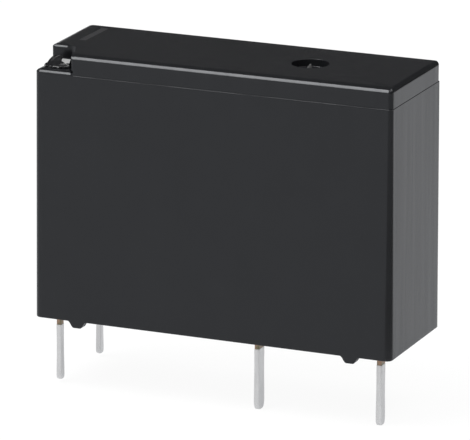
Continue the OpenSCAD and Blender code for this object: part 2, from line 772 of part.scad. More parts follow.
module spring_rivets() {
  color([0.75, 0.72, 0.66]) leaf_rivet_places() {
    translate([0, 0, -strip_t - upset_h]) cylinder(d = leaf_rivet_d, h = strip_t + leaf_t + 2 * upset_h);
    translate([0, 0, -strip_t - upset_h]) cylinder(d = leaf_rivet_head_d, h = upset_h);
    translate([0, 0, leaf_t]) cylinder(d = leaf_rivet_head_d, h = upset_h);
  }
}

case();
base();
sealing_resin();
coil_terminal_front();
coil_terminal_rear();
fixed_terminal();
moving_terminal();
bobbin();
coil_winding();
coil_solder_joints();
core();
yoke();
hinge_spring();
armature();
card();
moving_spring();
moving_contact();
fixed_contact();
spring_rivets();
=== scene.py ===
"""Looks of a slim PCB power relay, built as surfaces around its CAD frame. Lengths are in metres."""

import math

import bpy
import numpy as np
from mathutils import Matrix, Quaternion, Vector


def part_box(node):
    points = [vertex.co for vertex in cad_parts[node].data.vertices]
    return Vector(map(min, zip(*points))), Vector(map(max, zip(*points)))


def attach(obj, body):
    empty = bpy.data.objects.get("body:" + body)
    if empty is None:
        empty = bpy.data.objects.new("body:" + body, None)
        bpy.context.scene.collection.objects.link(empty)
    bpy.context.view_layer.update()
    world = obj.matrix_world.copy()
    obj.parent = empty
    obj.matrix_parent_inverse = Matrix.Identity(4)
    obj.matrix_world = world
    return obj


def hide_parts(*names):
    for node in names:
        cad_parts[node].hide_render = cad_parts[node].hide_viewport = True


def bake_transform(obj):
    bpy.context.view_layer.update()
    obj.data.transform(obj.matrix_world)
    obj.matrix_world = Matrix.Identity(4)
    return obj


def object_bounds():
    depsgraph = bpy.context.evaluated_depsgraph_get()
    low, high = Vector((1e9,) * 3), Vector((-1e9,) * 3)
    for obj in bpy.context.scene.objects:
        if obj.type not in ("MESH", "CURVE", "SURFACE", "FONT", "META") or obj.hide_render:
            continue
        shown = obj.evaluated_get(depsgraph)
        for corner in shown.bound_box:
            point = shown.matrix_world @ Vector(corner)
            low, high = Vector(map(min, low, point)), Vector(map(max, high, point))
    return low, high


bl_info = {
    "name": "Slim Power Relay",
    "version": (1, 0, 0),
    "blender": (4, 5, 0),
    "location": "3D View > Sidebar > Relay",
    "description": "Builds the looks of a slim PCB power relay around its CAD frame",
    "category": "Object",
}

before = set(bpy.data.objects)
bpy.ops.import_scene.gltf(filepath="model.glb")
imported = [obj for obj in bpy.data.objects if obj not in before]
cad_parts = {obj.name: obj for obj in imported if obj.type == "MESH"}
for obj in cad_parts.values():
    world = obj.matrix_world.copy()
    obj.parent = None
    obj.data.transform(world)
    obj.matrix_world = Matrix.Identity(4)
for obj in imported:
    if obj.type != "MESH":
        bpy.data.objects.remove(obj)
cad_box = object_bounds()

MM = 0.001
FRAME_BODY = "frame"
# Pins and the height at which the tin from the dip starts on each, in millimetres
PIN_TIN_TOP = {
    "coil_terminal_front": -0.16,
    "coil_terminal_rear": -0.2,
    "fixed_terminal": -0.05,
    "moving_terminal": -0.1,
}
COIL_POSTS = ("coil_terminal_front", "coil_terminal_rear")
# Share of a bevel's depth that its facet takes up
FACET_SHARE = 0.27
# Shares of the top bevel's full depth that are left round the notch and along the contact end
NOTCH_RIM_SHARE = 0.4
END_RIM_SHARE = 0.1
# Steepness of the top's bevel in the notch, where it is 1 along the front, and what the contact end adds
NOTCH_STEEPNESS = 0.08
END_STEEPNESS = 1.1
# Power of the contact end's rounded chamfer, between a straight one at 1 and a quarter round at 2
CHAMFER_POWER = 1.3
# Part of the parting step by which the contact end leans in, and the power that keeps it off the corners
END_LEAN = 0.85
END_LEAN_POWER = 12
# How far the parting line dips at the notch, to clear the bevel of its floor
NOTCH_DIP = 0.06 * MM
# Width of the level strip that follows the top's bevel inwards
FLAT_MARGIN = 0.06 * MM
# Usual range of a noise's values, and a narrower one that sets its patches apart
NOISE_RANGE = (0.3, 0.7)
PATCH_RANGE = (0.35, 0.65)
WHITE = (1.0, 1.0, 1.0)
COOL_WHITE = (1.0, 1.02, 1.06)
# Directions of the two softboxes from the relay
KEY_DIRECTION = (-0.33, -0.27, 0.9)
REAR_DIRECTION = (0.3, 0.3, 0.9)
FLOOR_RADIUS = 3.0
# Height of the grey card over the floor
CARD_LIFT = 0.05 * MM


def length(name, description, millimetres):
    """A size property, given in millimetres and kept in metres."""
    return bpy.props.FloatProperty(
        name=name, description=description, default=millimetres * MM, unit="LENGTH", precision=5
    )


def colour(name, description, value):
    """A colour property in linear light."""
    return bpy.props.FloatVectorProperty(
        name=name, description=description, default=value, subtype="COLOR", size=3, min=0.0, max=1.0
    )


def angle(name, description, degrees):
    """An angle property, given in degrees and kept in radians."""
    return bpy.props.FloatProperty(
        name=name, description=description, default=math.radians(degrees), subtype="ANGLE"
    )


def share(name, description, value):
    """A property between 0 and 1."""
    return bpy.props.FloatProperty(
        name=name, description=description, default=value, subtype="FACTOR", min=0.0, max=1.0
    )


def level(name, description, value):
    """A plain number above 0."""
    return bpy.props.FloatProperty(name=name, description=description, default=value, min=0.0)


class RelayCaseSizes(bpy.types.PropertyGroup):
    """Sizes of the moulded case."""

    edge_radius: length("Edge radius", "Radius of the upright edges", 0.28)
    rim: length("Rim", "Depth of the bevel along the top's front", 0.48)
    rim_height: length("Rim height", "Height of that bevel", 0.22)
    slim_rim: length("Slim rim", "Depth of the bevel along the back and the ends", 0.2)
    wall: length("Wall", "Thickness of the side and end walls", 0.45)
    top_wall: length("Top wall", "Thickness of the closed top", 0.75)
    inner_radius: length("Inner radius", "Radius of the corners inside the case", 0.06)
    lower_edge: length("Lower edge", "Height of the case's lower edge over the board", 0.4)
    lower_round: length("Lower rounding", "Radius along the lower edge", 0.05)
    draft: length("Draft", "How far the walls lean out from the parting line to the lower edge", 0.08)
    parting_drop: length("Parting drop", "Depth of the mould's parting line below the top", 1.1)
    parting_step: length("Parting step", "Inset of the moulding above the parting line", 0.036)
    parting_reach: length("Parting reach", "Height over which the parting step turns", 0.018)
    end_step: length("End step", "Further inset of the moulding above the parting line at its ends", 0.018)
    foot_inset: length("Foot inset", "Distance of a foot's middle from the end face", 2.315)
    foot_shift: length("Foot shift", "Place along the case of the middle between the feet", 0.08)
    foot_root: length("Foot root", "Length of a foot where it meets the case", 0.95)
    foot_tip: length("Foot tip", "Length of a foot at its tip", 0.5)
    foot_rise: length("Foot rise", "Height of a foot's tip over the board", 0.04)
    foot_width: length("Foot width", "Width of a foot, inwards from the side face", 0.45)
    foot_round: length("Foot rounding", "Reach of the rounding of a foot's edges", 0.12)
    notch_length: length("Notch length", "Length of the corner notch along the case", 2.03)
    notch_width: length("Notch width", "Width of the corner notch across the case", 2.0)
    notch_drop: length("Notch drop", "Depth of the notch floor below the top", 0.905)
    notch_radius: length("Notch radius", "Radius of the notch's inner corner at its floor", 0.6)
    notch_slant: angle("Notch slant", "Turn of the notch's side wall at its floor", 14.0)
    notch_upper_radius: length("Upper notch radius", "Radius of the notch's inner corner at the top", 0.85)
    notch_upper_slant: angle("Upper notch slant", "Turn of the notch's side wall at the top", 5.0)
    notch_edge: length("Notch edge", "Radius of the notch's upright front edge", 0.18)
    notch_rim: length("Notch rim", "Depth of the bevel along the notch floor", 0.36)
    notch_rim_height: length("Notch rim height", "Height of the bevel along the notch floor", 0.165)
    notch_fillet: length("Notch fillet", "Radius between the notch floor and its walls", 0.06)
    gate_inset: length("Gate inset", "Distance of the gate's middle from the contact end", 6.0)
    gate_diameter: length("Gate diameter", "Diameter of the round gate recess", 2.0)
    gate_depth: length("Gate depth", "Depth of the gate recess", 0.4)
    gate_edge: length("Gate edge", "Radius of the recess's edge and floor fillet", 0.03)
    stub_diameter: length("Stub diameter", "Diameter of the torn gate stub", 0.4)
    stub_height: length("Stub height", "Height of the torn gate stub", 0.38)
    stub_lean: length("Stub lean", "Distance by which the torn stub's tip leans to the contact end", 0.11)
    rib_length: length("Rib length", "Length of the armature's stop under the top", 0.6)
    rib_width: length("Rib width", "Width of the armature's stop", 2.4)
    rib_gap: length("Rib gap", "Gap between the stop and the released card", 0.06)


class RelayNibSizes(bpy.types.PropertyGroup):
    """Sizes of the melted vent nib in the corner notch."""

    diameter: length("Diameter", "Diameter of the melted nib", 1.48)
    height: length("Height", "Height of the nib over the notch floor", 0.56)
    lip_height: length("Lip height", "Height of the nib's rolled lip over the notch floor", 0.2)
    sink: length("Sink", "Depth to which the lip is melted into the notch floor", 0.06)
    from_end: length("From end", "Distance of the nib's middle from the end face", 0.92)
    from_side: length("From side", "Distance of the nib's middle from the side face", 1.1)
    press_along: length("Press along", "Distance along the case from the nib's middle to the tongue's", 0.47)
    press_width: length("Press width", "Width of the pressed tongue", 0.5)
    press_height: length("Press height", "Distance of the pressed flat's plane from the nib's middle", 0.412)
    press_top: length("Press top", "Height of the pressed tongue over the notch floor", 0.5)


class RelayInnerSizes(bpy.types.PropertyGroup):
    """Sizes of the tin, the seal, the coil and the contact leaf."""

    tin: length("Tin", "Thickness of the tin on the pins", 0.012)
    tin_bead: length("Tin bead", "Extra tin that gathered at a pin's tip", 0.008)
    tin_cap: length("Tin cap", "Length of the round tin below a pin's tip", 0.05)
    pin_edge: length("Pin edge", "Radius of a pin's long edges", 0.07)
    meniscus: length("Meniscus", "Height to which the resin climbs a pin", 0.14)
    wall_meniscus: length("Wall meniscus", "Height to which the resin climbs the case", 0.1)
    climb_reach: length("Climb reach", "Distance over which the resin climbs", 0.22)
    wire: length("Wire", "Diameter of the coil's wire", 0.14)
    tube_width: length("Tube width", "Width of the bobbin's tube inside the winding", 3.04)
    wrap_height: length("Wrap height", "Height of the wire wrapped on a post", 0.7)
    wrap_width: length("Wrap width", "Width over the wire wrapped on a post", 0.72)
    leaf_tip_width: length("Leaf tip width", "Width of the contact leaf at its free end", 2.6)
    leaf_flex_end: length("Leaf flex end", "Place along the case where the leaf's bend ends", 4.7)


class RelayFinishes(bpy.types.PropertyGroup):
    """Colours of the relay's materials, in linear light, and its orientation bar."""

    case_black: colour("Case black", "Moulded case", (0.0078, 0.0082, 0.0092))
    case_grey: colour("Case grey", "Paler flow marks in the case", (0.0098, 0.0103, 0.0115))
    case_sheen: colour("Case sheen", "Tint of the black plastic's reflections", (0.95, 0.97, 1.0))
    melted_black: colour("Melted black", "Melted plastic of the vent nib", (0.008, 0.008, 0.0085))
    marking: colour("Marking", "Burnt-in orientation bar on the top", (0.026, 0.026, 0.027))
    # Paler tone that the case material lays on the torn gate stub
    torn: colour("Torn plastic", "Whitened plastic of the torn gate stub", (0.075, 0.075, 0.075))
    tin: colour("Tin", "Dipped tin on the pins", (0.715, 0.71, 0.7))
    tin_grey: colour("Tin grey", "Dull patches in the tin", (0.62, 0.615, 0.61))
    # Both terminal tones below are darkened as painted shade, for the shade that the case casts on the bare
    # terminals
    strip: colour("Strip", "Bare copper alloy of the terminals", (0.32, 0.21, 0.15))
    shaded_strip_olive: colour("Strip olive", "Tarnish on the bare terminals", (0.17, 0.155, 0.1))
    resin: colour("Resin", "Sealing resin", (0.02, 0.02, 0.021))
    resin_pale: colour("Resin pale", "Cloudy places in the resin", (0.032, 0.032, 0.034))
    base_grey: colour("Base grey", "Moulded base plate", (0.045, 0.046, 0.05))
    bobbin_ivory: colour("Bobbin ivory", "Bobbin", (0.67, 0.6, 0.42))
    card_cream: colour("Card cream", "Pusher card", (0.76, 0.72, 0.58))
    wire_copper: colour("Wire copper", "Enamelled copper wire", (0.48, 0.17, 0.055))
    wire_dark: colour("Wire dark", "Enamel where it is thick", (0.3, 0.085, 0.03))
    iron: colour("Iron", "Nickel-plated magnet iron", (0.48, 0.47, 0.45))
    bronze: colour("Bronze", "Hinge spring", (0.55, 0.4, 0.19))
    spring_copper: colour("Spring copper", "Contact leaf", (0.62, 0.3, 0.17))
    silver: colour("Silver", "Contact faces", (0.74, 0.73, 0.7))
    brass: colour("Brass", "Leaf rivets", (0.6, 0.45, 0.2))
    solder: colour("Solder", "Solder on the winding posts", (0.55, 0.56, 0.57))
    case_specular: share("Case specular", "Strength of the black plastic's reflections", 0.29)
    bar_start: length("Bar start", "Distance of the orientation bar from the coil end", 1.02)
    bar_width: length("Bar width", "Width of the orientation bar", 0.38)
    bar_front: length("Bar front", "Place across the case where the bar starts", -0.1)
    bar_rear: length("Bar rear", "Place across the case where the bar ends", 2.85)


class RelayStage(bpy.types.PropertyGroup):
    """Camera, light and floor."""

    azimuth: angle("Azimuth", "Camera's turn round the relay", 23.009)
    elevation: angle("Elevation", "Camera's height above the horizon", 15.668)
    roll: angle("Roll", "Camera's tilt about its own axis", 0.229)
    distance: length("Distance", "Camera's distance from its target", 262.853)
    target_x: length("Target X", "Camera's target along the case", -0.106)
    target_z: length("Target Z", "Height of the camera's target", 6.012)
    lens: level("Lens", "Focal length in millimetres on a 36 mm sensor", 378.93)
    lamp_distance: length("Lamp distance", "Distance of the lamps from the relay", 400.0)
    key_size: length("Key size", "Side of the overhead softbox", 230.0)
    key_watts: level("Key power", "Power of the overhead softbox", 1.9)
    rear_watts: level("Rear power", "Power of the softbox over the back", 0.5)
    sky: level("Sky", "Strength of the even light from all round", 0.55)
    floor_grey: share("Floor grey", "Paleness of the floor as it lights the relay", 0.9)
    mirror_grey: share("Mirror grey", "Paleness of the floor's shading in reflections", 0.54)
    mirror_glow: level("Mirror glow", "Strength of the floor's white in reflections", 1.02)
    floor_shown: share("Floor shown", "Share of the floor's look that keeps the shadow", 0.06)
    floor_mirrored: share("Floor mirrored", "Share of the floor's true shading in reflections", 0.33)
    ring_radius: length("Ring radius", "Radius of the dark wall around the set", 600.0)
    ring_low: angle("Ring low", "Elevation of the dark wall's lower edge", 5.0)
    ring_high: angle("Ring high", "Elevation of the dark wall's upper edge", 70.0)
    ring_grey: share("Ring grey", "Paleness of the dark wall's cloth", 0.057)
    card_first: angle("Card first", "Heading from the front edge at which the grey card starts", -98.0)
    card_last: angle("Card last", "Heading from the front edge at which the grey card ends", 52.0)
    card_near: length("Card near", "Distance of the grey card from the front edge", 12.5)
    card_far: length("Card far", "Reach of the grey card from the front edge", 75.0)
    card_grey: share("Card grey", "Paleness of the grey card", 0.22)


def smooth_step(x):
    """Rises from 0 to 1 with level ends: 3x^2 - 2x^3 on the clipped value."""
    x = np.clip(x, 0.0, 1.0)
    return x * x * (3.0 - 2.0 * x)


def soft_max(a, b, reach):
    """The larger of two values, with a parabola in place of the kink where they are within reach."""
    gap = np.maximum(reach - np.abs(a - b), 0.0)
    return np.maximum(a, b) + gap * gap / (4.0 * reach)


def grid_quads(rows, columns, wrap_rows=False, wrap_columns=True):
    """Quads between neighbouring rows and columns of a grid, joined round where the grid wraps."""
    r = np.arange(rows if wrap_rows else rows - 1)[:, None]
    c = np.arange(columns if wrap_columns else columns - 1)[None, :]
    above, right = (r + 1) % rows, (c + 1) % columns
    corners = (r * columns + c, r * columns + right, above * columns + right, above * columns + c)
    return np.stack(np.broadcast_arrays(*corners), -1).reshape(-1, 4)


def fan(ring_start, columns, pole, closes):
    """Triangles from a ring to its pole; closes says that the pole comes after the ring."""
    c = np.arange(columns)
    right = (c + 1) % columns
    first, second = (c, right) if closes else (right, c)
    return np.stack([ring_start + first, ring_start + second, np.full(columns, pole)], -1)


def ring_mesh(rings, first_pole, last_pole):
    """Points and faces of a closed surface: stacked rings of equal length with a pole at each end."""
    rows, columns = rings.shape[:2]
    count = rows * columns
    points = np.concatenate([rings.reshape(-1, 3), [first_pole, last_pole]])
    faces = grid_quads(rows, columns).tolist()
    faces += fan(0, columns, count, closes=False).tolist()
    faces += fan(count - columns, columns, count + 1, closes=True).tolist()
    return points, faces


def joined(*parts):
    """Several (points, faces) lists as one, with the faces of each counted on from the last."""
    points, faces, start = [], [], 0
    for part_points, part_faces in parts:
        points.append(part_points)
        faces += [[start + i for i in face] for face in part_faces]
        start += len(part_points)
    return np.concatenate(points), faces


def add_piece(name, points, faces, material, sharp=40.0):
    """A mesh object at the origin, smooth except at edges sharper than the angle in degrees."""
    mesh = bpy.data.meshes.new(name)
    mesh.from_pydata(np.asarray(points, float).tolist(), [], faces)
    if mesh.validate():
        raise RuntimeError(f"{name} has faces that are not valid")
    mesh.shade_smooth()
    mesh.set_sharp_from_angle(angle=math.radians(sharp))
    mesh.materials.append(material)
    piece = bpy.data.objects.new(name, mesh)
    bpy.context.scene.collection.objects.link(piece)
    return piece


def run(start, end, steps):
    """Straight stretch of an outline at the given shares of its way; its normal points right of travel."""
    start, end = np.array(start), np.array(end)
    way = end - start
    normal = np.array([way[1], -way[0]]) / np.hypot(*way)
    return start + steps[:, None] * way, np.broadcast_to(normal, (len(steps), 2))


def turn(centre, radius, first, last, steps, side=1.0):
    """Arc of an outline from one angle to another in degrees; side -1 turns its normal to the centre."""
    a = np.radians(first + steps * (last - first))
    out = np.stack([np.cos(a), np.sin(a)], -1)
    return np.array(centre) + radius * out, side * out


def full_turn(count):
    """Even headings round a full turn, in radians."""
    return np.linspace(0.0, 2 * math.pi, count, endpoint=False)


def even(count):
    """Equal shares of a stretch, without its end."""
    return np.arange(count) / count


def bunched(start, end, spacing, fine, places, reach):
    """Shares of a stretch, closer near some places: equal steps of the running sum of the density."""
    line = np.linspace(start, end, 4001)
    near = np.abs(line[:, None] - np.array(places)).min(1) < reach
    density = np.where(near, 1.0 / fine, 1.0 / spacing)
    total = np.concatenate([[0.0], np.cumsum((density[1:] + density[:-1]) / 2.0)]) * abs(line[1] - line[0])
    count = math.ceil(total[-1])
    return np.interp(even(count) * total[-1], total, np.linspace(0.0, 1.0, len(line)))


def case_stretches(sizes, half_l, notch_x):
    """Shares along each stretch of the case's outline, close together at the feet."""
    spacing, fine = 0.22 * MM, 0.045 * MM
    feet = [sizes.foot_shift + side * (half_l - sizes.foot_inset) for side in (1, -1)]
    reach = sizes.foot_root / 2 + sizes.foot_round
    ends = half_l - sizes.edge_radius
    return {
        "front": bunched(notch_x + sizes.notch_edge, ends, spacing, fine, feet, reach),
        "rear": bunched(ends, -ends, spacing, fine, feet, reach),
        "stub": bunched(-ends, notch_x, spacing, fine, feet, reach),
        "end": even(30),
        "left": even(22),
        "corner": even(10),
    }


def notch_stretches(x, y, notch, steps):
    """The outline's stretches round the corner notch, from the left side to the front.

    An arc out of the left side, the back wall, the inner corner's arc, the slanted side wall and the
    arc of the upright front edge. The inner arc's middle lies where it touches both walls.
    """
    nx, ny, edge, inner, slant = notch
    s = math.radians(slant)
    along, across = np.array([-math.sin(s), math.cos(s)]), np.array([math.cos(s), math.sin(s)])
    front = np.array([nx + edge, edge - y])
    foot = front - edge * across
    wall = (ny - inner - foot[1] + inner * across[1]) / along[1]
    middle = foot + wall * along - inner * across
    corner, stub = steps["corner"], steps["stub"]
    return [
        turn((edge - x, ny + edge), edge, 180, 270, corner),
        run((edge - x, ny), (middle[0], ny), stub),
        turn(middle, inner, 90, slant, corner, side=-1.0),
        run(middle + inner * across, foot, stub),
        turn(front, edge, 180 + slant, 270, corner),
    ]


def case_outline(x, y, r, notch, steps, stepped, inset=0.0):
    """Plan outline of the case, counter-clockwise from the front side, and its outward normals.

    It is a rounded rectangle, or the same with the corner notch cut in: the notch's two walls, its
    front edge's radius, its inner radius and its slant. Both have as many points on each stretch, so
    that a ring can pass from one to the other. An inset moves all walls inwards, with smaller outer
    radii, down to half, and larger inner radii.
    """
    nx, ny, edge, inner, slant = notch
    x, y, r = x - inset, y - inset, max(r - inset, r / 2)
    nx, ny, edge, inner = nx + inset, ny + inset, max(edge - inset, edge / 2), inner + inset
    notch = (nx, ny, edge, inner, slant)
    corner, stub = steps["corner"], steps["stub"]
    stretches = [
        run((nx + edge, -y), (x - r, -y), steps["front"]),
        turn((x - r, r - y), r, -90, 0, corner),
        run((x, r - y), (x, y - r), steps["end"]),
        turn((x - r, y - r), r, 0, 90, corner),
        run((x - r, y), (r - x, y), steps["rear"]),
        turn((r - x, y - r), r, 90, 180, corner),
        run((-x, y - r), (-x, ny + edge), steps["left"]),
    ]
    if stepped:
        stretches += notch_stretches(x, y, notch, steps)
    else:
        stretches += [
            run((-x, ny + edge), (-x, ny), corner),
            run((-x, ny), (-x, r - y), stub),
            turn((r - x, r - y), r, 180, 270, corner),
            run((r - x, -y), (nx, -y), stub),
            run((nx, -y), (nx + edge, -y), corner),
        ]
    points, normals = zip(*stretches)
    return np.concatenate(points), np.concatenate(normals)


def bevel_profile():
    """Shares of depth and of height over a bevel, from the wall to the flat.

    They are the running sums of the sine and cosine of its turning angle: it rises fast to a facet near
    43 degrees, which takes up FACET_SHARE of the depth, and turns fast to a shoulder that levels out.
    """
    way = np.linspace(0.0, 1.0, 401)
    degrees = np.interp(way, (0.0, 0.02, 0.34, 0.38, 0.93, 1.0), (0.0, 33.0, 52.0, 70.0, 80.0, 90.0))
    heading = np.radians(degrees)
    depth, height = np.cumsum(np.sin(heading)), np.cumsum(np.cos(heading))
    depth, height = depth - depth[0], height - height[0]
    # Samples to keep, close together where the bevel turns fast
    picks = [0, 6, 12, 40, 70, 134, 142, 150, 151, 170, 178, 206, 234, 261, 317, 372, 380, 390, 400]
    return depth[picks] / depth[-1], height[picks] / height[-1]


def end_share(steps):
    """1 along the contact end and 0 elsewhere, with smooth passages round the two corners."""
    corner = smooth_step(steps["corner"])
    lead = [np.zeros(len(steps["front"])), corner, np.ones(len(steps["end"])), 1.0 - corner]
    rest = ("rear", "corner", "left", "corner", "stub", "corner", "stub", "corner")
    return np.concatenate([*lead, np.zeros(sum(len(steps[s]) for s in rest))])


def rim_share(steps):
    """Share of the top bevel's full depth: 1 along the front, less round the notch and 0 along the back."""
    corner, left, side = [smooth_step(steps[s]) for s in ("corner", "left", "stub")]
    front, edge, slim = np.ones(len(steps["front"])), np.ones(len(corner)), np.zeros(len(steps["rear"]))
    part, end = NOTCH_RIM_SHARE, END_RIM_SHARE
    ends = [1.0 - (1.0 - end) * corner, np.full(len(steps["end"]), end), end * (1.0 - corner)]
    back = [part * left, part * edge, np.full(len(side), part)]
    inner = [part * edge, part + (1.0 - part) * side, edge]
    return np.concatenate([front, *ends, slim, 0.0 * corner, *back, *inner])


def rim_steepness(steps):
    """How steep the top's bevel is: 1, but about twice that at the contact end and little in the notch."""
    parts = ("front", "corner", "end", "corner", "rear", "corner", "left", "corner")
    plain = np.ones(sum(len(steps[s]) for s in parts))
    last_stretch = smooth_step((steps["stub"] - 0.84) / 0.2)
    back = 1.0 - (1.0 - NOTCH_STEEPNESS) * last_stretch
    inner = np.full(2 * len(steps["corner"]) + len(steps["stub"]), NOTCH_STEEPNESS)
    return np.concatenate([plain, back, inner]) + END_STEEPNESS * end_share(steps)


def notch_share(steps):
    """1 on the notch's stretches of the outline and 0 elsewhere, with a smooth passage at its two ends."""
    whole = sum(len(steps[s]) for s in ("front", "corner", "end", "corner", "rear", "corner", "left"))
    middle = 2 * len(steps["stub"]) + len(steps["corner"])
    passage = smooth_step(steps["corner"])
    return np.concatenate([np.zeros(whole), passage, np.ones(middle), 1.0 - passage])


def foot_heights(sizes, outline, half_l, half_w):
    """Height of the lower edge along the outline, and a mask of the feet.

    Near a foot the edge follows a trapezoid: level under the tip, a straight flank, then the case's
    lower edge, with both kinks rounded off.
    """
    away = np.abs(np.abs(outline[:, 0] - sizes.foot_shift) - (half_l - sizes.foot_inset))
    on_side = np.abs(outline[:, 1]) > half_w - sizes.edge_radius / 2
    slope = 2 * (sizes.lower_edge - sizes.foot_rise) / (sizes.foot_root - sizes.foot_tip)
    flank = sizes.foot_rise + (away - sizes.foot_tip / 2) * slope
    low = soft_max(flank, sizes.foot_rise, sizes.foot_round)
    height = -soft_max(-low, -sizes.lower_edge, sizes.foot_round)
    near = on_side & (away < sizes.foot_root / 2 + sizes.foot_round)
    return np.where(on_side, height, sizes.lower_edge), near


def gate_rings(sizes, flat, gate, top):
    """Rings from the top's flat to the gate recess, as plans and heights, and the tip of its torn stub.

    The flat is drawn in along spokes to the recess, over its round edge and down to a filleted floor. The
    stub is a ragged cone: its rings shrink by a power of the way up and lean, and sines make them uneven.
    """
    spoke = flat - gate
    reach = np.linalg.norm(spoke, axis=1)[:, None]
    spoke = spoke / reach
    gate_r, soft, floor = sizes.gate_diameter / 2, sizes.gate_edge, top - sizes.gate_depth
    rings = [
        (gate + spoke * (gate_r + (reach - gate_r) * 0.5), top),
        (gate + spoke * (gate_r + 1.6 * soft), top),
    ]
    quarter = np.linspace(0.0, math.pi / 2, 6)
    turns = [(soft * (1.0 - math.sin(a)), soft * (1.0 - math.cos(a))) for a in quarter]
    rings += [(gate + spoke * (gate_r + wide), top - deep) for wide, deep in turns]
    rings += [(gate + spoke * (gate_r - deep), floor + wide) for wide, deep in turns]
    heading = np.arctan2(spoke[:, 1], spoke[:, 0])
    stub_r = sizes.stub_diameter / 2
    lean = np.array([sizes.stub_lean, 0.0])
    root = gate - 0.9 * lean
    rings.append((root + spoke * (1.5 * stub_r), floor))
    for t in np.linspace(0.0, 0.94, 14):
        ragged = 1.0 + 0.13 * np.sin(3 * heading + 0.7 + 2 * t) + 0.09 * np.sin(7 * heading + 5 * t)
        size = stub_r * (1.0 - t) ** 0.75 * (1.0 + 0.2 * (1.0 - t) ** 8) * ragged
        torn = sizes.stub_height * (t + 0.05 * t * np.sin(2 * heading + 1.0))
        rings.append((root + lean * t + spoke * size[:, None], floor + torn))
    return rings, [*(root + lean), floor + sizes.stub_height]


def case_surface(sizes):
    """The case as one closed surface: a profile carried round the plan outline.

    The profile starts at the stop under the ceiling, runs down the inner walls, turns round the lower
    edge and its feet, climbs the leaning outer walls over the parting step, crosses the notch floor where
    there is one, turns over the top's rim and ends in the gate recess at the tip of the torn stub.
    """
    low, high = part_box("case")
    x, y, top, r = high.x, high.y, high.z, sizes.edge_radius
    corner = (low.x + sizes.notch_length, low.y + sizes.notch_width)
    lower_notch = (*corner, sizes.notch_edge, sizes.notch_radius, math.degrees(sizes.notch_slant))
    upper_notch = (*corner, sizes.notch_edge, sizes.notch_upper_radius, math.degrees(sizes.notch_upper_slant))
    steps = case_stretches(sizes, x, corner[0])
    outer, out = case_outline(x, y, r, lower_notch, steps, stepped=False)
    inside = (x - sizes.wall, y - sizes.wall, sizes.inner_radius,
              (corner[0] + sizes.wall, corner[1] + sizes.wall, sizes.inner_radius, sizes.inner_radius, 0.0))
    inner, inner_out = case_outline(*inside[:3], lower_notch, steps, stepped=False)
    inner_upper, _ = case_outline(*inside, steps, stepped=True)
    at_notch = notch_share(steps)
    foot_z, near_foot = foot_heights(sizes, outer, x, y)
    rings = []

    def ring(plan, z):
        rings.append(np.column_stack([plan, np.broadcast_to(z, len(plan))]))

    # Stop rib, ceiling and inner walls
    ceiling, under_notch = top - sizes.top_wall, top - sizes.notch_drop - sizes.top_wall
    card_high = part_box("card")[1]
    rib_half = np.array([sizes.rib_length, sizes.rib_width]) / 2
    rib = np.array([card_high.x - sizes.rib_length, 0.0])
    rib_z = card_high.z + sizes.rib_gap
    spoke = inner_upper - rib
    rib_plan = rib + spoke * np.min(rib_half / np.maximum(np.abs(spoke), 1e-9), 1)[:, None]
    ring(rib_plan, rib_z)
    ring(rib_plan, ceiling)
    ring(inner_upper, ceiling)
    ring(inner_upper, under_notch)
    ring(inner, under_notch)
    resin_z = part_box("sealing_resin")[0].z
    ring(inner, (under_notch + resin_z) / 2)
    ring(inner, resin_z)

    # Inner side of the lower edge, by the feet's own width where they are, and the rounded lower edge
    foot_inner = np.where(near_foot[:, None], outer - out * sizes.foot_width, inner)
    soft = sizes.lower_round
    ring(foot_inner, np.minimum(resin_z, foot_z + 2.5 * soft))
    ring(foot_inner, foot_z + soft)
    ring(foot_inner + inner_out * soft, foot_z)
    for a in np.linspace(0.0, math.pi / 2, 5):
        ring(outer + out * (sizes.draft - soft * (1.0 - math.sin(a))), foot_z + soft * (1.0 - math.cos(a)))

    # Outer walls, and the step at the parting line with a fine groove above it
    parting, step = top - sizes.parting_drop, sizes.parting_step
    plain, under = step * (1.0 - at_notch), NOTCH_DIP * at_notch
    start = plain * END_LEAN * np.clip(out[:, 0], 0.0, 1.0) ** END_LEAN_POWER
    upper_x = x - sizes.end_step
    shift = outer * (1.0 - at_notch)[:, None] * [upper_x / x - 1.0, 0.0]
    wall_low, wall_high = sizes.lower_edge + 3 * soft, parting - 2 * sizes.parting_reach
    for climb in np.linspace(0.0, 1.0, 8):
        lean = sizes.draft * (1.0 - climb) - climb * start
        ring(outer + out * lean[:, None], wall_low + climb * (wall_high - wall_low))
    uneven = 1.0 + 0.5 * np.sin(outer[:, 0] / (1.7 * MM)) * np.sin(outer[:, 0] / (0.63 * MM) + 1.0)
    reach = sizes.parting_reach * uneven
    turn_in = ((0, -1), (0.12, -0.5), (0.45, -0.15), (0.95, 0))
    groove = ((1.04, 0.1), (1.04, 0.4), (1, 0.7), (1, 1.2))
    for depth, rise in turn_in + groove:
        inset = start + (plain - start) * depth
        ring(outer + depth * shift - out * inset[:, None], parting + reach * rise - under)

    # Bevel of the notch floor, the floor itself and the fillet up to the notch walls
    floor = top - sizes.notch_drop
    shares = list(zip(*bevel_profile()))
    notch_rim_height = sizes.notch_rim_height * (0.6 + 0.4 * at_notch)
    for depth, height in shares:
        ring(outer + shift - out * (plain + at_notch * sizes.notch_rim * depth)[:, None],
             floor - notch_rim_height * (1.0 - height))
    fillet = sizes.notch_fillet
    wall, wall_out = case_outline(upper_x, y, r, lower_notch, steps, stepped=True, inset=step)
    edge = outer + shift - out * (plain + at_notch * sizes.notch_rim)[:, None]
    foot_of_wall = wall + wall_out * (at_notch * fillet)[:, None]
    lift = fillet * (1.0 - at_notch)
    for part in (0.08, 0.3, 0.6, 0.9, 1.0):
        ring(edge + part * (foot_of_wall - edge), floor + lift * part)
    for a in np.linspace(0.0, math.pi / 2, 5)[1:]:
        ring(wall + wall_out * (at_notch * fillet * (1.0 - math.sin(a)))[:, None],
             floor + lift + fillet * (1.0 - math.cos(a)))

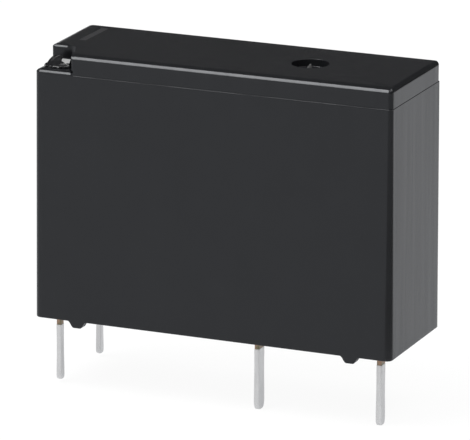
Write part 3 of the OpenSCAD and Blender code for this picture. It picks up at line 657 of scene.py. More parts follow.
    # Upper walls and the bevel of the rim, which passes from the lower to the upper notch outline, is
    # slimmer along the back and the ends, and along the front runs out through the notch's side
    full_share = rim_share(steps)
    depths = sizes.slim_rim + (sizes.rim - sizes.slim_rim) * full_share
    for z in (floor + 3 * fillet, top - 1.25 * sizes.rim_height):
        ring(wall, z)
    upper = (upper_x, y, r, upper_notch)

    def top_plan(part, inset=0.0):
        """Outline of the upper notch's form, moved inwards by a part of each side's bevel and the inset."""
        insets = (step + part * sizes.slim_rim + inset, step + part * sizes.rim + inset)
        slim, full = [case_outline(*upper, steps, stepped=True, inset=i)[0] for i in insets]
        return slim + full_share[:, None] * (full - slim)

    steepness, at_end = rim_steepness(steps), end_share(steps)
    facet_plan, rim_plan = top_plan(FACET_SHARE), top_plan(1.0)
    for depth, height in shares:
        facet = min(depth / FACET_SHARE, 1.0)
        shoulder = max((depth - FACET_SHARE) / (1.0 - FACET_SHARE), 0.0)
        plan = wall + facet * (facet_plan - wall) + shoulder * (rim_plan - facet_plan)
        from_front = np.interp((plan[:, 1] + y - step) / sizes.rim, *zip(*shares))
        chamfer = (1.0 - (1.0 - depth) ** CHAMFER_POWER) ** (1.0 / CHAMFER_POWER)
        height = height + at_end * (chamfer - height)
        drop = np.maximum(depths / sizes.rim * steepness * (1.0 - height), 1.0 - from_front)
        ring(plan, top - drop * sizes.rim_height)
    flat = top_plan(1.0, FLAT_MARGIN)
    ring(flat, top)

    gate = np.array([high.x - sizes.gate_inset, 0.0])
    stub_rings, tip = gate_rings(sizes, flat, gate, top)
    for plan, z in stub_rings:
        ring(plan, z)
    return ring_mesh(np.stack(rings), [*rib, rib_z], tip)


def nib_surface(sizes, case_sizes):
    """The melted vent nib: a low lumpy dome with a rolled lip, and a tongue that was pressed flat.

    The radius runs out along the leaning dome and back under the lip, the height falls by a power of the
    radius, and sines of heading and radius ripple both. The tongue is the least of its top, its two
    flanks and the pressed plane that slants up from the front, and the surface is the higher of the two.
    """
    low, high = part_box("case")
    centre = np.array([low.x + sizes.from_end, low.y + sizes.from_side])
    floor = high.z - case_sizes.notch_drop - sizes.sink
    radius, lip, crown = sizes.diameter / 2, sizes.lip_height, sizes.height - sizes.lip_height
    heading = full_turn(240)[None, :]
    t = np.linspace(0.0, 1.0, 110)[:, None]
    lip_part = 0.3
    curl = np.clip((lip_part - t) / lip_part, 0.0, 1.0) * math.pi
    out = np.clip((1.0 - t) / (1.0 - lip_part), 0.0, 1.0)
    ripple = 0.02 * np.sin(2 * heading + 0.4) + 0.015 * np.sin(5 * heading + 2.0) * out**2
    ripple = 1.0 + ripple + 0.012 * np.sin(11 * heading + 1.0) * out**4
    ripple = ripple + 0.14 * np.exp(5.0 * (np.cos(heading + 0.5) - 1.0))
    roll = lip * (0.5 + 0.12 * np.sin(9 * heading) + 0.1 * np.sin(16 * heading + 2.0))
    plan = ((radius - lip / 2) * out + roll * np.sin(curl)) * ripple
    lean_x, lean_y = -0.1 * radius, 0.4 * radius
    x = plan * np.cos(heading) + lean_x * (1.0 - out)
    y = plan * np.sin(heading) + lean_y * (1.0 - out)
    round_out = np.minimum(np.sqrt(out * out + 0.02), 1.0)
    fullness = 1.5 + 3.4 * np.maximum(-np.cos(heading + 0.4), 0.0) ** 2
    z = lip + crown * (1.0 - round_out**fullness) - roll * (1.0 - np.cos(curl))
    lump = np.sin(6 * x / radius + 1.0) * np.sin(5 * y / radius)
    lump = lump + 0.6 * np.sin(11 * x / radius - 7 * y / radius)
    lump_height = 0.004 * MM
    z = z + lump_height * lump * smooth_step(out / 0.3) * smooth_step((1.0 - out) / 0.2)
    # Pressed plane, by its normal across and up, which falls away in front; then the tongue's other sides
    across, up, front_y = -0.73, 0.68, -0.29 * MM
    pressed = (sizes.press_height - y * across) / up - 2.0 * np.maximum(front_y - y, 0.0)
    behind = sizes.press_top - 1.5 * np.maximum(y - 0.16 * radius, 0.0)
    beside = 2.5 * np.maximum(np.abs(x - sizes.press_along) - sizes.press_width / 2, 0.0)
    soft = 0.03 * MM
    tongue = -soft_max(-pressed, -behind, soft) - beside
    z = np.where(curl < 1.2, soft_max(z, tongue, soft), z)
    rings = np.stack([centre[0] + x, centre[1] + y, floor + np.minimum(z, sizes.height)], -1)
    return ring_mesh(rings, [centre[0], centre[1], rings[0, 0, 2]], rings[-1].mean(0))


def section_shape(count=7, side=6):
    """A rounded rectangle's plan as two arrays: which corner each point belongs to, and its arc direction.

    A point is the corner's sign times (half size - radius), plus the radius times its direction. Points
    along a flat side pass from one corner's sign to the next.
    """
    corners = np.array([[1, 1], [-1, 1], [-1, -1], [1, -1]], float)
    signs, ways = [], []
    for i, sign in enumerate(corners):
        a = np.radians(90 * i + np.linspace(0.0, 90.0, count))
        signs.append(np.broadcast_to(sign, (count, 2)))
        ways.append(np.column_stack([np.cos(a), np.sin(a)]))
        t = np.linspace(0.0, 1.0, side + 2)[1:-1, None]
        signs.append(sign + t * (corners[(i + 1) % 4] - sign))
        ways.append(np.broadcast_to(ways[-1][-1], (side, 2)))
    return np.concatenate(signs), np.concatenate(ways).round(12)


def round_section(half_a, half_b, radius):
    """Rings of a rounded rectangle, one for each pair of half sizes, with the radius kept inside them."""
    signs, ways = section_shape()
    halves = np.stack(np.broadcast_arrays(half_a, half_b), -1)
    radius = np.minimum(radius, 0.98 * halves.min(-1, keepdims=True))
    return signs * (halves - radius) + radius * ways


def tin_surface(sizes, node, tin_top):
    """Tin cup on a pin: the pin's section carried up along the blade and down again outside.

    The section narrows to a full round at the tip, as the blade does. The profile starts at the inner
    tip, climbs the blade's face, turns over a wavy lip and comes down outside, with a bead at the tip.
    """
    pin = PIN_PLACES[node]
    half_t, half_w = pin["half_t"], pin["half_w"]
    tip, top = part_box(node)[0].z, tin_top * MM
    signs, ways = section_shape()
    heading = np.arctan2(signs[:, 1] + ways[:, 1], signs[:, 0] + ways[:, 0])[None, :]
    start = pin["x"] / MM
    wave = 0.3 * np.sin(heading + start) + 0.2 * np.sin(3 * heading + 1.3 * start)

    def rings(grow, cap, z):
        """Rings at the heights z, grown by the tin's thickness and rounded over a cap at the tip."""
        rise = z - (tip - cap)
        narrow = 1.0 - np.clip(rise / (half_w + cap), 0.0, 1.0)
        slim = 1.0 - np.clip(rise / max(2.0 * cap, 1e-9), 0.0, 1.0)
        half_a = (half_t + grow) * np.sqrt(np.maximum(1.0 - slim**2, 0.002))
        half_b = (half_w + grow) * np.sqrt(np.maximum(1.0 - narrow**2, 0.002))
        plan = round_section(half_a, half_b, sizes.pin_edge)
        return np.concatenate([plan + [pin["x"], pin["y"]], np.broadcast_to(z, half_a.shape)[..., None]], -1)

    climb = (1.0 - np.cos(np.linspace(0.0, math.pi / 2, 30)))[:, None] + 0 * heading
    inner = rings(0.0, 0.0, tip + (top - tip) * climb[2:])
    t = np.linspace(0.0, 1.0, 6)[:, None]
    thickness = sizes.tin * (1.0 - (1.0 - t) ** 2) + 0 * heading
    lip = rings(thickness, sizes.tin_cap, top + sizes.tin * (wave + (1.0 - t * t) * 0.8))
    down = (tip - sizes.tin_cap) + (top - tip + sizes.tin_cap) * climb[::-1][1:]
    bead = sizes.tin_bead * np.exp(-(((down - tip) / (4 * half_w)) ** 2))
    uneven = sizes.tin * 0.3 * np.sin(2 * heading + down / (0.45 * MM)) * smooth_step((down - tip) / half_w)
    outer = rings(sizes.tin + bead + uneven, sizes.tin_cap, down)
    middle = [pin["x"], pin["y"]]
    shell = np.concatenate([inner, lip, outer])
    return ring_mesh(shell, [*middle, tip], [*middle, tip - sizes.tin_cap])


def seal_surface(sizes):
    """The resin under the base: a slab whose lower face is a height field.

    The height is level in the middle, with a slow swell, and falls away exponentially towards each pin
    and each wall, where the liquid resin climbed before it set.
    """
    low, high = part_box("sealing_resin")
    xs = low.x + (high.x - low.x) * (1 - np.cos(np.linspace(0, math.pi, 260))) / 2
    ys = low.y + (high.y - low.y) * (1 - np.cos(np.linspace(0, math.pi, 90))) / 2
    x, y = np.meshgrid(xs, ys)
    to_wall = np.minimum(np.minimum(x - low.x, high.x - x), np.minimum(y - low.y, high.y - y))
    drop = sizes.wall_meniscus * np.exp(-to_wall / sizes.climb_reach)
    for pin in PIN_PLACES.values():
        dx = np.maximum(np.abs(x - pin["x"]) - pin["half_t"], 0.0)
        dy = np.maximum(np.abs(y - pin["y"]) - pin["half_w"], 0.0)
        drop = np.maximum(drop, sizes.meniscus * np.exp(-np.hypot(dx, dy) / sizes.climb_reach))
    swell_height = 0.02 * MM
    swell = np.sin(x / (2.1 * MM)) * np.cos(y / (1.3 * MM)) + np.sin(x / (0.9 * MM) + 1.0) / 3
    field = np.stack([x, y, low.z - drop + swell_height * swell], -1)
    rim = np.zeros(x.shape, bool)
    rim[[0, -1], :] = True
    rim[:, [0, -1]] = True
    lid = field[rim].copy()
    lid[:, 2] = high.z
    rows, columns = x.shape
    around = np.concatenate([
        np.arange(columns), columns * np.arange(1, rows) + columns - 1,
        rows * columns - 2 - np.arange(columns - 1), columns * np.arange(rows - 2, 0, -1),
    ])
    number = np.full(rows * columns, -1)
    number[rim.ravel()] = rows * columns + np.arange(len(lid))
    lid_loop = number[around]
    lower = grid_quads(rows, columns, wrap_columns=False)[:, ::-1]
    sides = np.stack([around, np.roll(around, -1), np.roll(lid_loop, -1), lid_loop], -1)
    faces = lower.tolist() + sides.tolist() + [lid_loop.tolist()]
    return np.concatenate([field.reshape(-1, 3), lid]), faces


def stadium(centre, straight, width, steps):
    """Flattened round: two half circles joined by straights, at even shares of its length."""
    radius = width / 2
    around = 2 * straight + 2 * math.pi * radius
    s = steps * around
    right = np.clip(s, 0, math.pi * radius) / radius - math.pi / 2
    left = np.clip(s - math.pi * radius - straight, 0, math.pi * radius) / radius + math.pi / 2
    on_right = s < math.pi * radius + straight
    heading = np.where(on_right, right, left)
    back = np.clip(s - math.pi * radius, 0, straight)
    fore = np.clip(s - 2 * math.pi * radius - straight, 0, straight)
    shift = straight / 2 - back + fore
    return np.stack([centre[0] + shift + radius * np.cos(heading), centre[1] + radius * np.sin(heading)], -1)


def winding_surface(sizes):
    """The coil: a scalloped profile, one half round per turn of wire, carried round a flattened round."""
    low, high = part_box("coil_winding")
    core_low, core_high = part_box("core")
    straight = (core_high.x - core_low.x) - (core_high.y - core_low.y)
    centre = ((core_low.x + core_high.x) / 2, 0.0)
    width = 2 * (high.x - centre[0]) - straight
    turns = round((high.z - low.z) / sizes.wire)
    steps = even(112)
    u = np.linspace(0.0, turns, turns * 6, endpoint=False) + 1 / 12
    dent = 1.0 - np.sqrt(np.maximum(1.0 - (2.0 * (u % 1.0) - 1.0) ** 2, 0.0))
    z = low.z + (high.z - low.z) * u / turns
    seam = 0.12 * np.sin(2 * math.pi * steps)[:, None] * np.sin(u * 0.37 + 1.0)[None, :]
    path = stadium(centre, straight, width, steps)
    inner = stadium(centre, straight, sizes.tube_width, steps)
    heading = path - inner
    heading = heading / np.linalg.norm(heading, axis=1)[:, None]
    depth = sizes.wire / 2 * (dent[None, :] + np.abs(seam))
    outer_plan = path[:, None, :] - heading[:, None, :] * depth[:, :, None]
    shell = np.concatenate([outer_plan, np.broadcast_to(z[None, :, None], depth.shape + (1,))], -1)
    ends = [np.column_stack([inner, np.full(len(inner), end_z)]) for end_z in (high.z, low.z)]
    rings = np.concatenate([shell.transpose(1, 0, 2), np.stack(ends)])
    return rings.reshape(-1, 3), grid_quads(len(rings), len(inner), wrap_rows=True).tolist()


def tube(path, radius, sides=10):
    """A round wire: circles on the plane across each point's tangent, with a pole at each end."""
    tangent = np.gradient(path, axis=0)
    tangent /= np.linalg.norm(tangent, axis=1)[:, None]
    across = np.cross(tangent, [0.0, 0.0, 1.0])
    across /= np.maximum(np.linalg.norm(across, axis=1), 1e-9)[:, None]
    upward = np.cross(across, tangent)
    a = full_turn(sides)
    offset = np.cos(a)[None, :, None] * across[:, None, :] + np.sin(a)[None, :, None] * upward[:, None, :]
    return ring_mesh(path[:, None, :] + radius * offset, path[0], path[-1])


def lead_surface(sizes, node):
    """A lead-out wire: a helix round its winding post, then a slack line to the coil's side."""
    pin = PIN_PLACES[node]
    radius = sizes.wire / 2
    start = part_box("coil_solder_joints")[0].z - sizes.wrap_height
    side = math.copysign(1.0, pin["y"])
    turns = math.floor(sizes.wrap_height / sizes.wire)
    t = np.linspace(0.0, 1.0, turns * 28)
    heading = side * 2 * math.pi * turns * (1.0 - t)
    reach = sizes.wrap_width / 2 - radius
    dx, dy = reach * np.cos(heading), reach * np.sin(heading)
    climb = start + radius + (sizes.wrap_height - sizes.wire) * t
    helix = np.stack([pin["x"] + dx, pin["y"] + dy, climb[::-1]], -1)
    # The coil's end of the slack line: off the core, to the pin's side and just above the wrapped turns' foot
    off_core, aside, above, sag = 0.95 * MM, 2.1 * MM, 0.2 * MM, 0.12 * MM
    coil_end = np.array([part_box("core")[0].x - off_core, side * aside, start + above])
    s = np.linspace(0.0, 1.0, 24)[1:, None]
    slack = helix[-1] + s * (coil_end - helix[-1])
    slack[:, 2] -= sag * np.sin(math.pi * s[:, 0])
    return tube(np.concatenate([helix, slack]), radius)


def solder_surface(sizes, node):
    """Solder on a winding post: a waisted cone from the wrapped wire up to the post, turned on its axis."""
    pin = PIN_PLACES[node]
    low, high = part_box("coil_solder_joints")
    height = high.z - low.z
    heading = full_turn(40)[None, :]
    t = np.linspace(0.0, 1.0, 16)[:, None]
    film = 0.02 * MM
    wide, slim = sizes.wire + pin["half_w"], pin["half_w"] + film
    radius = slim + (wide - slim) * (1.0 - t) ** 1.8
    radius = radius * (1.0 + 0.03 * np.sin(3 * heading + 9 * pin["y"] / MM + 2 * t))
    squeeze = 1.0 - 0.3 * t
    x = pin["x"] + radius * squeeze * np.cos(heading)
    y = pin["y"] + radius * np.sin(heading)
    z = np.broadcast_to(low.z + height * t * 0.98, x.shape)
    middle = [pin["x"], pin["y"]]
    return ring_mesh(np.stack([x, y, z], -1), [*middle, low.z], [*middle, high.z])


def leaf_surface(sizes):
    """The contact leaf: a thin rounded section carried along the case, narrower towards its free end."""
    low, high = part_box("moving_spring")
    contact_low, contact_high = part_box("moving_contact")
    contact_x = (contact_low.x + contact_high.x) / 2
    root_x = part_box("moving_terminal")[0].x
    xs = np.linspace(low.x, high.x, 90)[:, None]
    taper = smooth_step((xs - contact_x) / (root_x - contact_x))
    half_w = sizes.leaf_tip_width / 2 + (high.y - sizes.leaf_tip_width / 2) * taper
    from_end = np.minimum(xs - low.x, high.x - xs)
    corner, edge = 0.2 * MM, 0.02 * MM
    half_w = half_w - corner * (1.0 - np.sqrt(1.0 - (1.0 - np.clip(from_end / corner, 0, 1)) ** 2))
    half_t = (high.z - low.z) / 2
    middle_z = low.z + half_t
    section = round_section(half_w, half_t + 0 * half_w, edge)[:, ::-1]
    rings = np.concatenate([np.broadcast_to(xs[:, :, None], section.shape[:2] + (1,)), section], -1)
    return ring_mesh(rings + [0.0, 0.0, middle_z], [low.x, 0.0, middle_z], [high.x, 0.0, middle_z])


def pin_places():
    """Middle, half thickness and half width of each pin, from its node's points below the board."""
    places = {}
    for node in PIN_TIN_TOP:
        points = np.empty(len(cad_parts[node].data.vertices) * 3, np.float32)
        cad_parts[node].data.vertices.foreach_get("co", points)
        points = points.reshape(-1, 3).astype(float)
        blade = points[points[:, 2] < 0.0]
        low, high = blade.min(0), blade.max(0)
        places[node] = {
            "x": (low[0] + high[0]) / 2, "y": (low[1] + high[1]) / 2,
            "half_t": (high[0] - low[0]) / 2, "half_w": (high[1] - low[1]) / 2,
        }
    return places


PIN_PLACES = pin_places()


def set_inputs(tree, node, inputs):
    """Sets a node's inputs; each is a value or the socket to link to it."""
    for key, value in inputs.items():
        if isinstance(value, bpy.types.NodeSocket):
            tree.links.new(value, node.inputs[key])
        else:
            node.inputs[key].default_value = value


def add_node(tree, kind, inputs=None, **settings):
    """A node with its settings and inputs."""
    node = tree.nodes.new(kind)
    for key, value in settings.items():
        setattr(node, key, value)
    set_inputs(tree, node, inputs or {})
    return node


def calculate(tree, operation, a, b):
    """A Math node's result."""
    return add_node(tree, "ShaderNodeMath", {0: a, 1: b}, operation=operation).outputs[0]


def ranged(tree, value, low, high, to_low, to_high, interpolation="LINEAR"):
    """A Map Range node's result."""
    inputs = {"Value": value, "From Min": low, "From Max": high, "To Min": to_low, "To Max": to_high}
    return add_node(tree, "ShaderNodeMapRange", inputs, interpolation_type=interpolation).outputs[0]


def mixed(tree, factor, a, b):
    """A colour Mix node's result; each colour is a socket or a tone, which gets full opacity."""
    tones = [v if isinstance(v, bpy.types.NodeSocket) else (*v[:3], 1.0) for v in (a, b)]
    return add_node(tree, "ShaderNodeMix", {0: factor, 6: tones[0], 7: tones[1]}, data_type="RGBA").outputs[2]


def new_group(name, inputs, outputs):
    """An empty node group with number sockets, and its input and output nodes."""
    tree = bpy.data.node_groups.new(name, "ShaderNodeTree")
    for label, value in inputs.items():
        socket = tree.interface.new_socket(label, in_out="INPUT", socket_type="NodeSocketFloat")
        socket.default_value = value
    for label in outputs:
        tree.interface.new_socket(label, in_out="OUTPUT", socket_type="NodeSocketFloat")
    return tree, tree.nodes.new("NodeGroupInput").outputs, tree.nodes.new("NodeGroupOutput").inputs


def grain_group():
    """Fine grain and slow patches from two noises on the piece's own coordinates."""
    tree, given, result = new_group("surface_grain", {"Grain": 9000.0, "Patch": 600.0}, ("Grain", "Patch"))
    place = add_node(tree, "ShaderNodeTexCoord").outputs["Object"]
    for label, detail in (("Grain", 3.0), ("Patch", 2.0)):
        inputs = {"Vector": place, "Scale": given[label], "Detail": detail}
        noise = add_node(tree, "ShaderNodeTexNoise", inputs)
        tree.links.new(noise.outputs[0], result[label])
    return tree


def lines_group():
    """Fine lines: noise on coordinates that are scaled by a different number along each axis."""
    scales = {"Scale X": 2000.0, "Scale Y": 2000.0, "Scale Z": 2000.0}
    tree, given, result = new_group("drawn_lines", scales, ("Lines",))
    place = add_node(tree, "ShaderNodeTexCoord").outputs["Object"]
    stretch = add_node(tree, "ShaderNodeCombineXYZ", {axis: given[f"Scale {axis}"] for axis in "XYZ"})
    scaled = add_node(tree, "ShaderNodeVectorMath", {0: place, 1: stretch.outputs[0]}, operation="MULTIPLY")
    noise = add_node(tree, "ShaderNodeTexNoise", {"Vector": scaled.outputs[0], "Scale": 1.0, "Detail": 2.0})
    tree.links.new(noise.outputs[0], result["Lines"])
    return tree


def window_group():
    """1 where a value lies between two limits and 0 outside them, with soft edges of a given width."""
    inputs = {"Value": 0.0, "Low": 0.0, "High": 1.0, "Blur": 0.01 * MM}
    tree, given, result = new_group("window", inputs, ("Mask",))
    masks = []
    for limit, ends in (("Low", (0.0, 1.0)), ("High", (1.0, 0.0))):
        past = calculate(tree, "ADD", given[limit], given["Blur"])
        before = calculate(tree, "SUBTRACT", given[limit], given["Blur"])
        masks.append(ranged(tree, given["Value"], before, past, *ends, interpolation="SMOOTHSTEP"))
    tree.links.new(calculate(tree, "MULTIPLY", *masks), result["Mask"])
    return tree


def shared_group(name):
    """The named effect's node group, built on first use."""
    builders = {"surface_grain": grain_group, "drawn_lines": lines_group, "window": window_group}
    return bpy.data.node_groups.get(name) or builders[name]()


def use_group(tree, name, **inputs):
    """An effect placed in a material; an underscore in an input's name stands for a space."""
    named = {key.replace("_", " "): value for key, value in inputs.items()}
    node = tree.nodes.new("ShaderNodeGroup")
    node.node_tree = shared_group(name)
    set_inputs(tree, node, named)
    return node.outputs


def box_mask(tree, axes, limits, blur=0.01 * MM):
    """1 inside a box, given as some axes with two limits each, with edges of the given softness."""
    sides = [{"Value": axes[i], "Low": low, "High": high, "Blur": blur} for i, low, high in limits]
    masks = [use_group(tree, "window", **side)["Mask"] for side in sides]
    inside = masks[0]
    for mask in masks[1:]:
        inside = calculate(tree, "MULTIPLY", inside, mask)
    return inside


def bare_tree(owner):
    """The emptied node tree of a material or the world."""
    owner.use_nodes = True
    owner.node_tree.nodes.clear()
    return owner.node_tree


def new_material(name, metallic=0.0, specular=0.5):
    """A material with a Principled shader, its tree and that shader's inputs."""
    made = bpy.data.materials.new(name)
    tree = bare_tree(made)
    output = tree.nodes.new("ShaderNodeOutputMaterial")
    shader = tree.nodes.new("ShaderNodeBsdfPrincipled")
    tree.links.new(shader.outputs[0], output.inputs["Surface"])
    shader.inputs["Metallic"].default_value = metallic
    shader.inputs["Specular IOR Level"].default_value = specular
    return made, tree, shader.inputs


def dress(tree, shader, tone, rough, relief=None):
    """Links a colour, a roughness and, where given, a bump: its height, strength and depth in metres."""
    tree.links.new(tone, shader["Base Color"])
    tree.links.new(rough, shader["Roughness"])
    if relief:
        inputs = dict(zip(("Height", "Strength", "Distance"), relief))
        tree.links.new(add_node(tree, "ShaderNodeBump", inputs).outputs[0], shader["Normal"])


def case_material(finishes, case_sizes):
    """Black moulded plastic with a fine grain and faint upright flow lines.

    Boxes in the piece's own coordinates mask the orientation bar, the torn stub and the dull underside.
    """
    made, tree, shader = new_material("case_plastic_looks", specular=finishes.case_specular)
    shader["Specular Tint"].default_value = (*finishes.case_sheen, 1.0)
    low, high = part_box("case")
    grain = use_group(tree, "surface_grain", Grain=11000.0, Patch=420.0)
    lines = use_group(tree, "drawn_lines", Scale_X=1700.0, Scale_Y=1700.0, Scale_Z=90.0)
    place = add_node(tree, "ShaderNodeTexCoord").outputs["Object"]
    axes = add_node(tree, "ShaderNodeSeparateXYZ", {0: place}).outputs
    skin, beyond, stub_foot, side_face = 0.05 * MM, 1.0 * MM, 0.06 * MM, 0.08 * MM
    bar_x = low.x + finishes.bar_start
    bar = box_mask(tree, axes, (
        (0, bar_x, bar_x + finishes.bar_width),
        (1, finishes.bar_front, finishes.bar_rear),
        (2, high.z - skin, high.z + beyond),
    ))
    gate_x, reach = high.x - case_sizes.gate_inset, case_sizes.stub_diameter * 0.6
    stub = box_mask(tree, axes, (
        (0, gate_x - reach, gate_x + reach),
        (1, -reach, reach),
        (2, high.z - case_sizes.gate_depth + stub_foot, high.z),
    ), blur=0.04 * MM)
    underside = box_mask(tree, axes, (
        (1, low.y + side_face, high.y - side_face),
        (2, -beyond, case_sizes.lower_edge),
    ))
    body = mixed(tree, grain["Patch"], finishes.case_black, finishes.case_grey)
    worn = calculate(tree, "MULTIPLY", bar, ranged(tree, grain["Grain"], 0.3, 0.6, 0.55, 1.0))
    # The stub mask lays the paler tone on the torn gate stub
    tone = mixed(tree, stub, mixed(tree, worn, body, finishes.marking), finishes.torn)
    rough = ranged(tree, lines["Lines"], *NOISE_RANGE, 0.2, 0.27)
    for mask, dulling in ((bar, 0.25), (underside, 0.5)):
        rough = calculate(tree, "ADD", rough, calculate(tree, "MULTIPLY", mask, dulling))
    height = calculate(tree, "ADD", calculate(tree, "MULTIPLY", grain["Grain"], 0.25), lines["Lines"])
    dress(tree, shader, tone, rough, (height, 0.9, 0.012 * MM))
    return made


def nib_material(finishes):
    """The same plastic, melted smooth: nearly black, glossy, with slow ripples and dull smears."""
    made, tree, shader = new_material("melted_plastic_looks", specular=0.44)
    grain = use_group(tree, "surface_grain", Grain=5200.0, Patch=1500.0)
    tone = mixed(tree, grain["Patch"], finishes.melted_black, finishes.case_black)
    rough = ranged(tree, grain["Patch"], *PATCH_RANGE, 0.1, 0.3)
    dress(tree, shader, tone, rough, (grain["Grain"], 0.4, 0.02 * MM))
    return made


def tin_material(finishes):
    """Dipped tin: satin, with dull patches and a fine drawn-down unevenness."""
    made, tree, shader = new_material("dipped_tin_looks", metallic=1.0)
    grain = use_group(tree, "surface_grain", Grain=7000.0, Patch=1600.0)
    lines = use_group(tree, "drawn_lines", Scale_X=5000.0, Scale_Y=5000.0, Scale_Z=420.0)
    tone = mixed(tree, grain["Patch"], finishes.tin, finishes.tin_grey)
    rough = ranged(tree, lines["Lines"], *NOISE_RANGE, 0.34, 0.48)
    height = calculate(tree, "ADD", lines["Lines"], grain["Grain"])
    dress(tree, shader, tone, rough, (height, 0.25, 0.006 * MM))
    return made


def strip_material(finishes):
    """Bare copper alloy with olive tarnish in patches and rolling lines down its length; both tones are
    darkened as painted shade, for the shade under the case.
    """
    made, tree, shader = new_material("terminal_strip_shaded_looks", metallic=1.0)
    grain = use_group(tree, "surface_grain", Grain=8000.0, Patch=3600.0)
    lines = use_group(tree, "drawn_lines", Scale_X=9000.0, Scale_Y=9000.0, Scale_Z=300.0)
    tarnish = ranged(tree, grain["Patch"], 0.4, 0.6, 0.0, 1.0)
    # Tarnish mix of the two terminal tones, both darkened as painted shade under the case
    tone = mixed(tree, tarnish, finishes.strip, finishes.shaded_strip_olive)
    rough = ranged(tree, lines["Lines"], *NOISE_RANGE, 0.26, 0.42)
    dress(tree, shader, tone, rough, (lines["Lines"], 0.2, 0.004 * MM))
    return made


def resin_material(finishes):
    """Cast resin: dark and glossy, with cloudy places and a slow orange-peel surface."""
    made, tree, shader = new_material("sealing_resin_looks", specular=0.45)
    grain = use_group(tree, "surface_grain", Grain=1500.0, Patch=350.0)
    tone = mixed(tree, grain["Patch"], finishes.resin, finishes.resin_pale)
    rough = ranged(tree, grain["Grain"], *NOISE_RANGE, 0.14, 0.26)
    dress(tree, shader, tone, rough, (grain["Grain"], 0.3, 0.02 * MM))
    return made


def plastic_material(name, tone, rough):
    """Moulded inner plastic: a tone with slow darker clouds, and a fine grain."""
    made, tree, shader = new_material(name, specular=0.4)
    grain = use_group(tree, "surface_grain", Grain=9000.0, Patch=500.0)
    clouded = mixed(tree, grain["Patch"], tone, [0.82 * v for v in tone])
    grained = ranged(tree, grain["Grain"], *NOISE_RANGE, rough, rough + 0.12)
    dress(tree, shader, clouded, grained, (grain["Grain"], 0.25, 0.003 * MM))
    return made


def metal_material(name, tone, rough, scales):
    """Rolled or turned metal: a tone with duller patches, and fine lines along one axis."""
    made, tree, shader = new_material(name, metallic=1.0)
    grain = use_group(tree, "surface_grain", Grain=8000.0, Patch=700.0)
    lines = use_group(tree, "drawn_lines", Scale_X=scales[0], Scale_Y=scales[1], Scale_Z=scales[2])
    patched = mixed(tree, grain["Patch"], tone, [0.78 * v for v in tone])
    lined = ranged(tree, lines["Lines"], *NOISE_RANGE, rough, rough + 0.14)
    dress(tree, shader, patched, lined, (lines["Lines"], 0.25, 0.003 * MM))
    return made


def wire_material(finishes):
    """Enamelled copper wire: metal under a clear coat, darker where the enamel is thick."""
    made, tree, shader = new_material("enamelled_wire_looks", metallic=0.9)
    grain = use_group(tree, "surface_grain", Grain=6000.0, Patch=900.0)
    thick = ranged(tree, grain["Patch"], *PATCH_RANGE, 0.0, 1.0)
    tone = mixed(tree, thick, finishes.wire_copper, finishes.wire_dark)
    dress(tree, shader, tone, ranged(tree, grain["Grain"], *NOISE_RANGE, 0.25, 0.38))
    shader["Coat Weight"].default_value = 0.6
    shader["Coat Roughness"].default_value = 0.08
    return made


class RELAY_OT_mould_case(bpy.types.Operator):
    """Builds the black case with its notch, feet, parting line and gate recess"""

    bl_idname = "relay.mould_case"
    bl_label = "Mould case"

    def execute(self, context):
        scene = context.scene
        material = case_material(scene.relay_finishes, scene.relay_case)
        points, faces = case_surface(scene.relay_case)
        case = add_piece("case_shell", points, faces, material)
        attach(case, FRAME_BODY)
        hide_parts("case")
        return {"FINISHED"}


class RELAY_OT_melt_nib(bpy.types.Operator):
    """Builds the melted vent nib in the corner notch"""

    bl_idname = "relay.melt_nib"
    bl_label = "Melt nib"

    def execute(self, context):
        scene = context.scene
        points, faces = nib_surface(scene.relay_nib, scene.relay_case)
        nib = add_piece("vent_nib", points, faces, nib_material(scene.relay_finishes), sharp=80.0)
        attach(nib, FRAME_BODY)
        return {"FINISHED"}


class RELAY_OT_tin_pins(bpy.types.Operator):
    """Dips the four pins in tin"""

    bl_idname = "relay.tin_pins"
    bl_label = "Tin pins"

    def execute(self, context):
        scene = context.scene
        material = tin_material(scene.relay_finishes)
        for node, tin_top in PIN_TIN_TOP.items():
            points, faces = tin_surface(scene.relay_inner, node, tin_top)
            tin = add_piece(f"tin_{node}", points, faces, material, sharp=70.0)
            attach(tin, FRAME_BODY)
        return {"FINISHED"}


class RELAY_OT_cast_seal(bpy.types.Operator):
    """Casts the sealing resin under the base"""

    bl_idname = "relay.cast_seal"
    bl_label = "Cast seal"

    def execute(self, context):
        scene = context.scene
        points, faces = seal_surface(scene.relay_inner)
        seal = add_piece("cast_seal", points, faces, resin_material(scene.relay_finishes))
        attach(seal, FRAME_BODY)
        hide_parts("sealing_resin")
        return {"FINISHED"}


class RELAY_OT_wind_coil(bpy.types.Operator):
    """Winds the coil, wraps its leads on the posts and solders them"""

    bl_idname = "relay.wind_coil"
    bl_label = "Wind coil"

    def execute(self, context):
        scene = context.scene
        sizes = scene.relay_inner
        wire = joined(winding_surface(sizes), *[lead_surface(sizes, post) for post in COIL_POSTS])
        coil = add_piece("wire_winding", *wire, wire_material(scene.relay_finishes), sharp=75.0)
        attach(coil, FRAME_BODY)
        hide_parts("coil_winding")
        bright = metal_material("solder_looks", scene.relay_finishes.solder, 0.22, (3000.0, 3000.0, 900.0))
        drops = joined(*[solder_surface(sizes, post) for post in COIL_POSTS])
        solder = add_piece("solder_drops", *drops, bright, sharp=70.0)
        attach(solder, FRAME_BODY)
        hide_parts("coil_solder_joints")
        return {"FINISHED"}


class RELAY_OT_bend_leaf(bpy.types.Operator):
    """Builds the contact leaf, a tapered strip that runs from its shelf to the moving contact"""

    bl_idname = "relay.bend_leaf"
    bl_label = "Bend leaf"

    def execute(self, context):
        scene = context.scene
        copper = scene.relay_finishes.spring_copper
        material = metal_material("contact_leaf_looks", copper, 0.2, (250.0, 9000.0, 9000.0))
        leaf = add_piece("contact_leaf", *leaf_surface(scene.relay_inner), material)
        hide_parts("moving_spring")
        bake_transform(leaf)
        return {"FINISHED"}


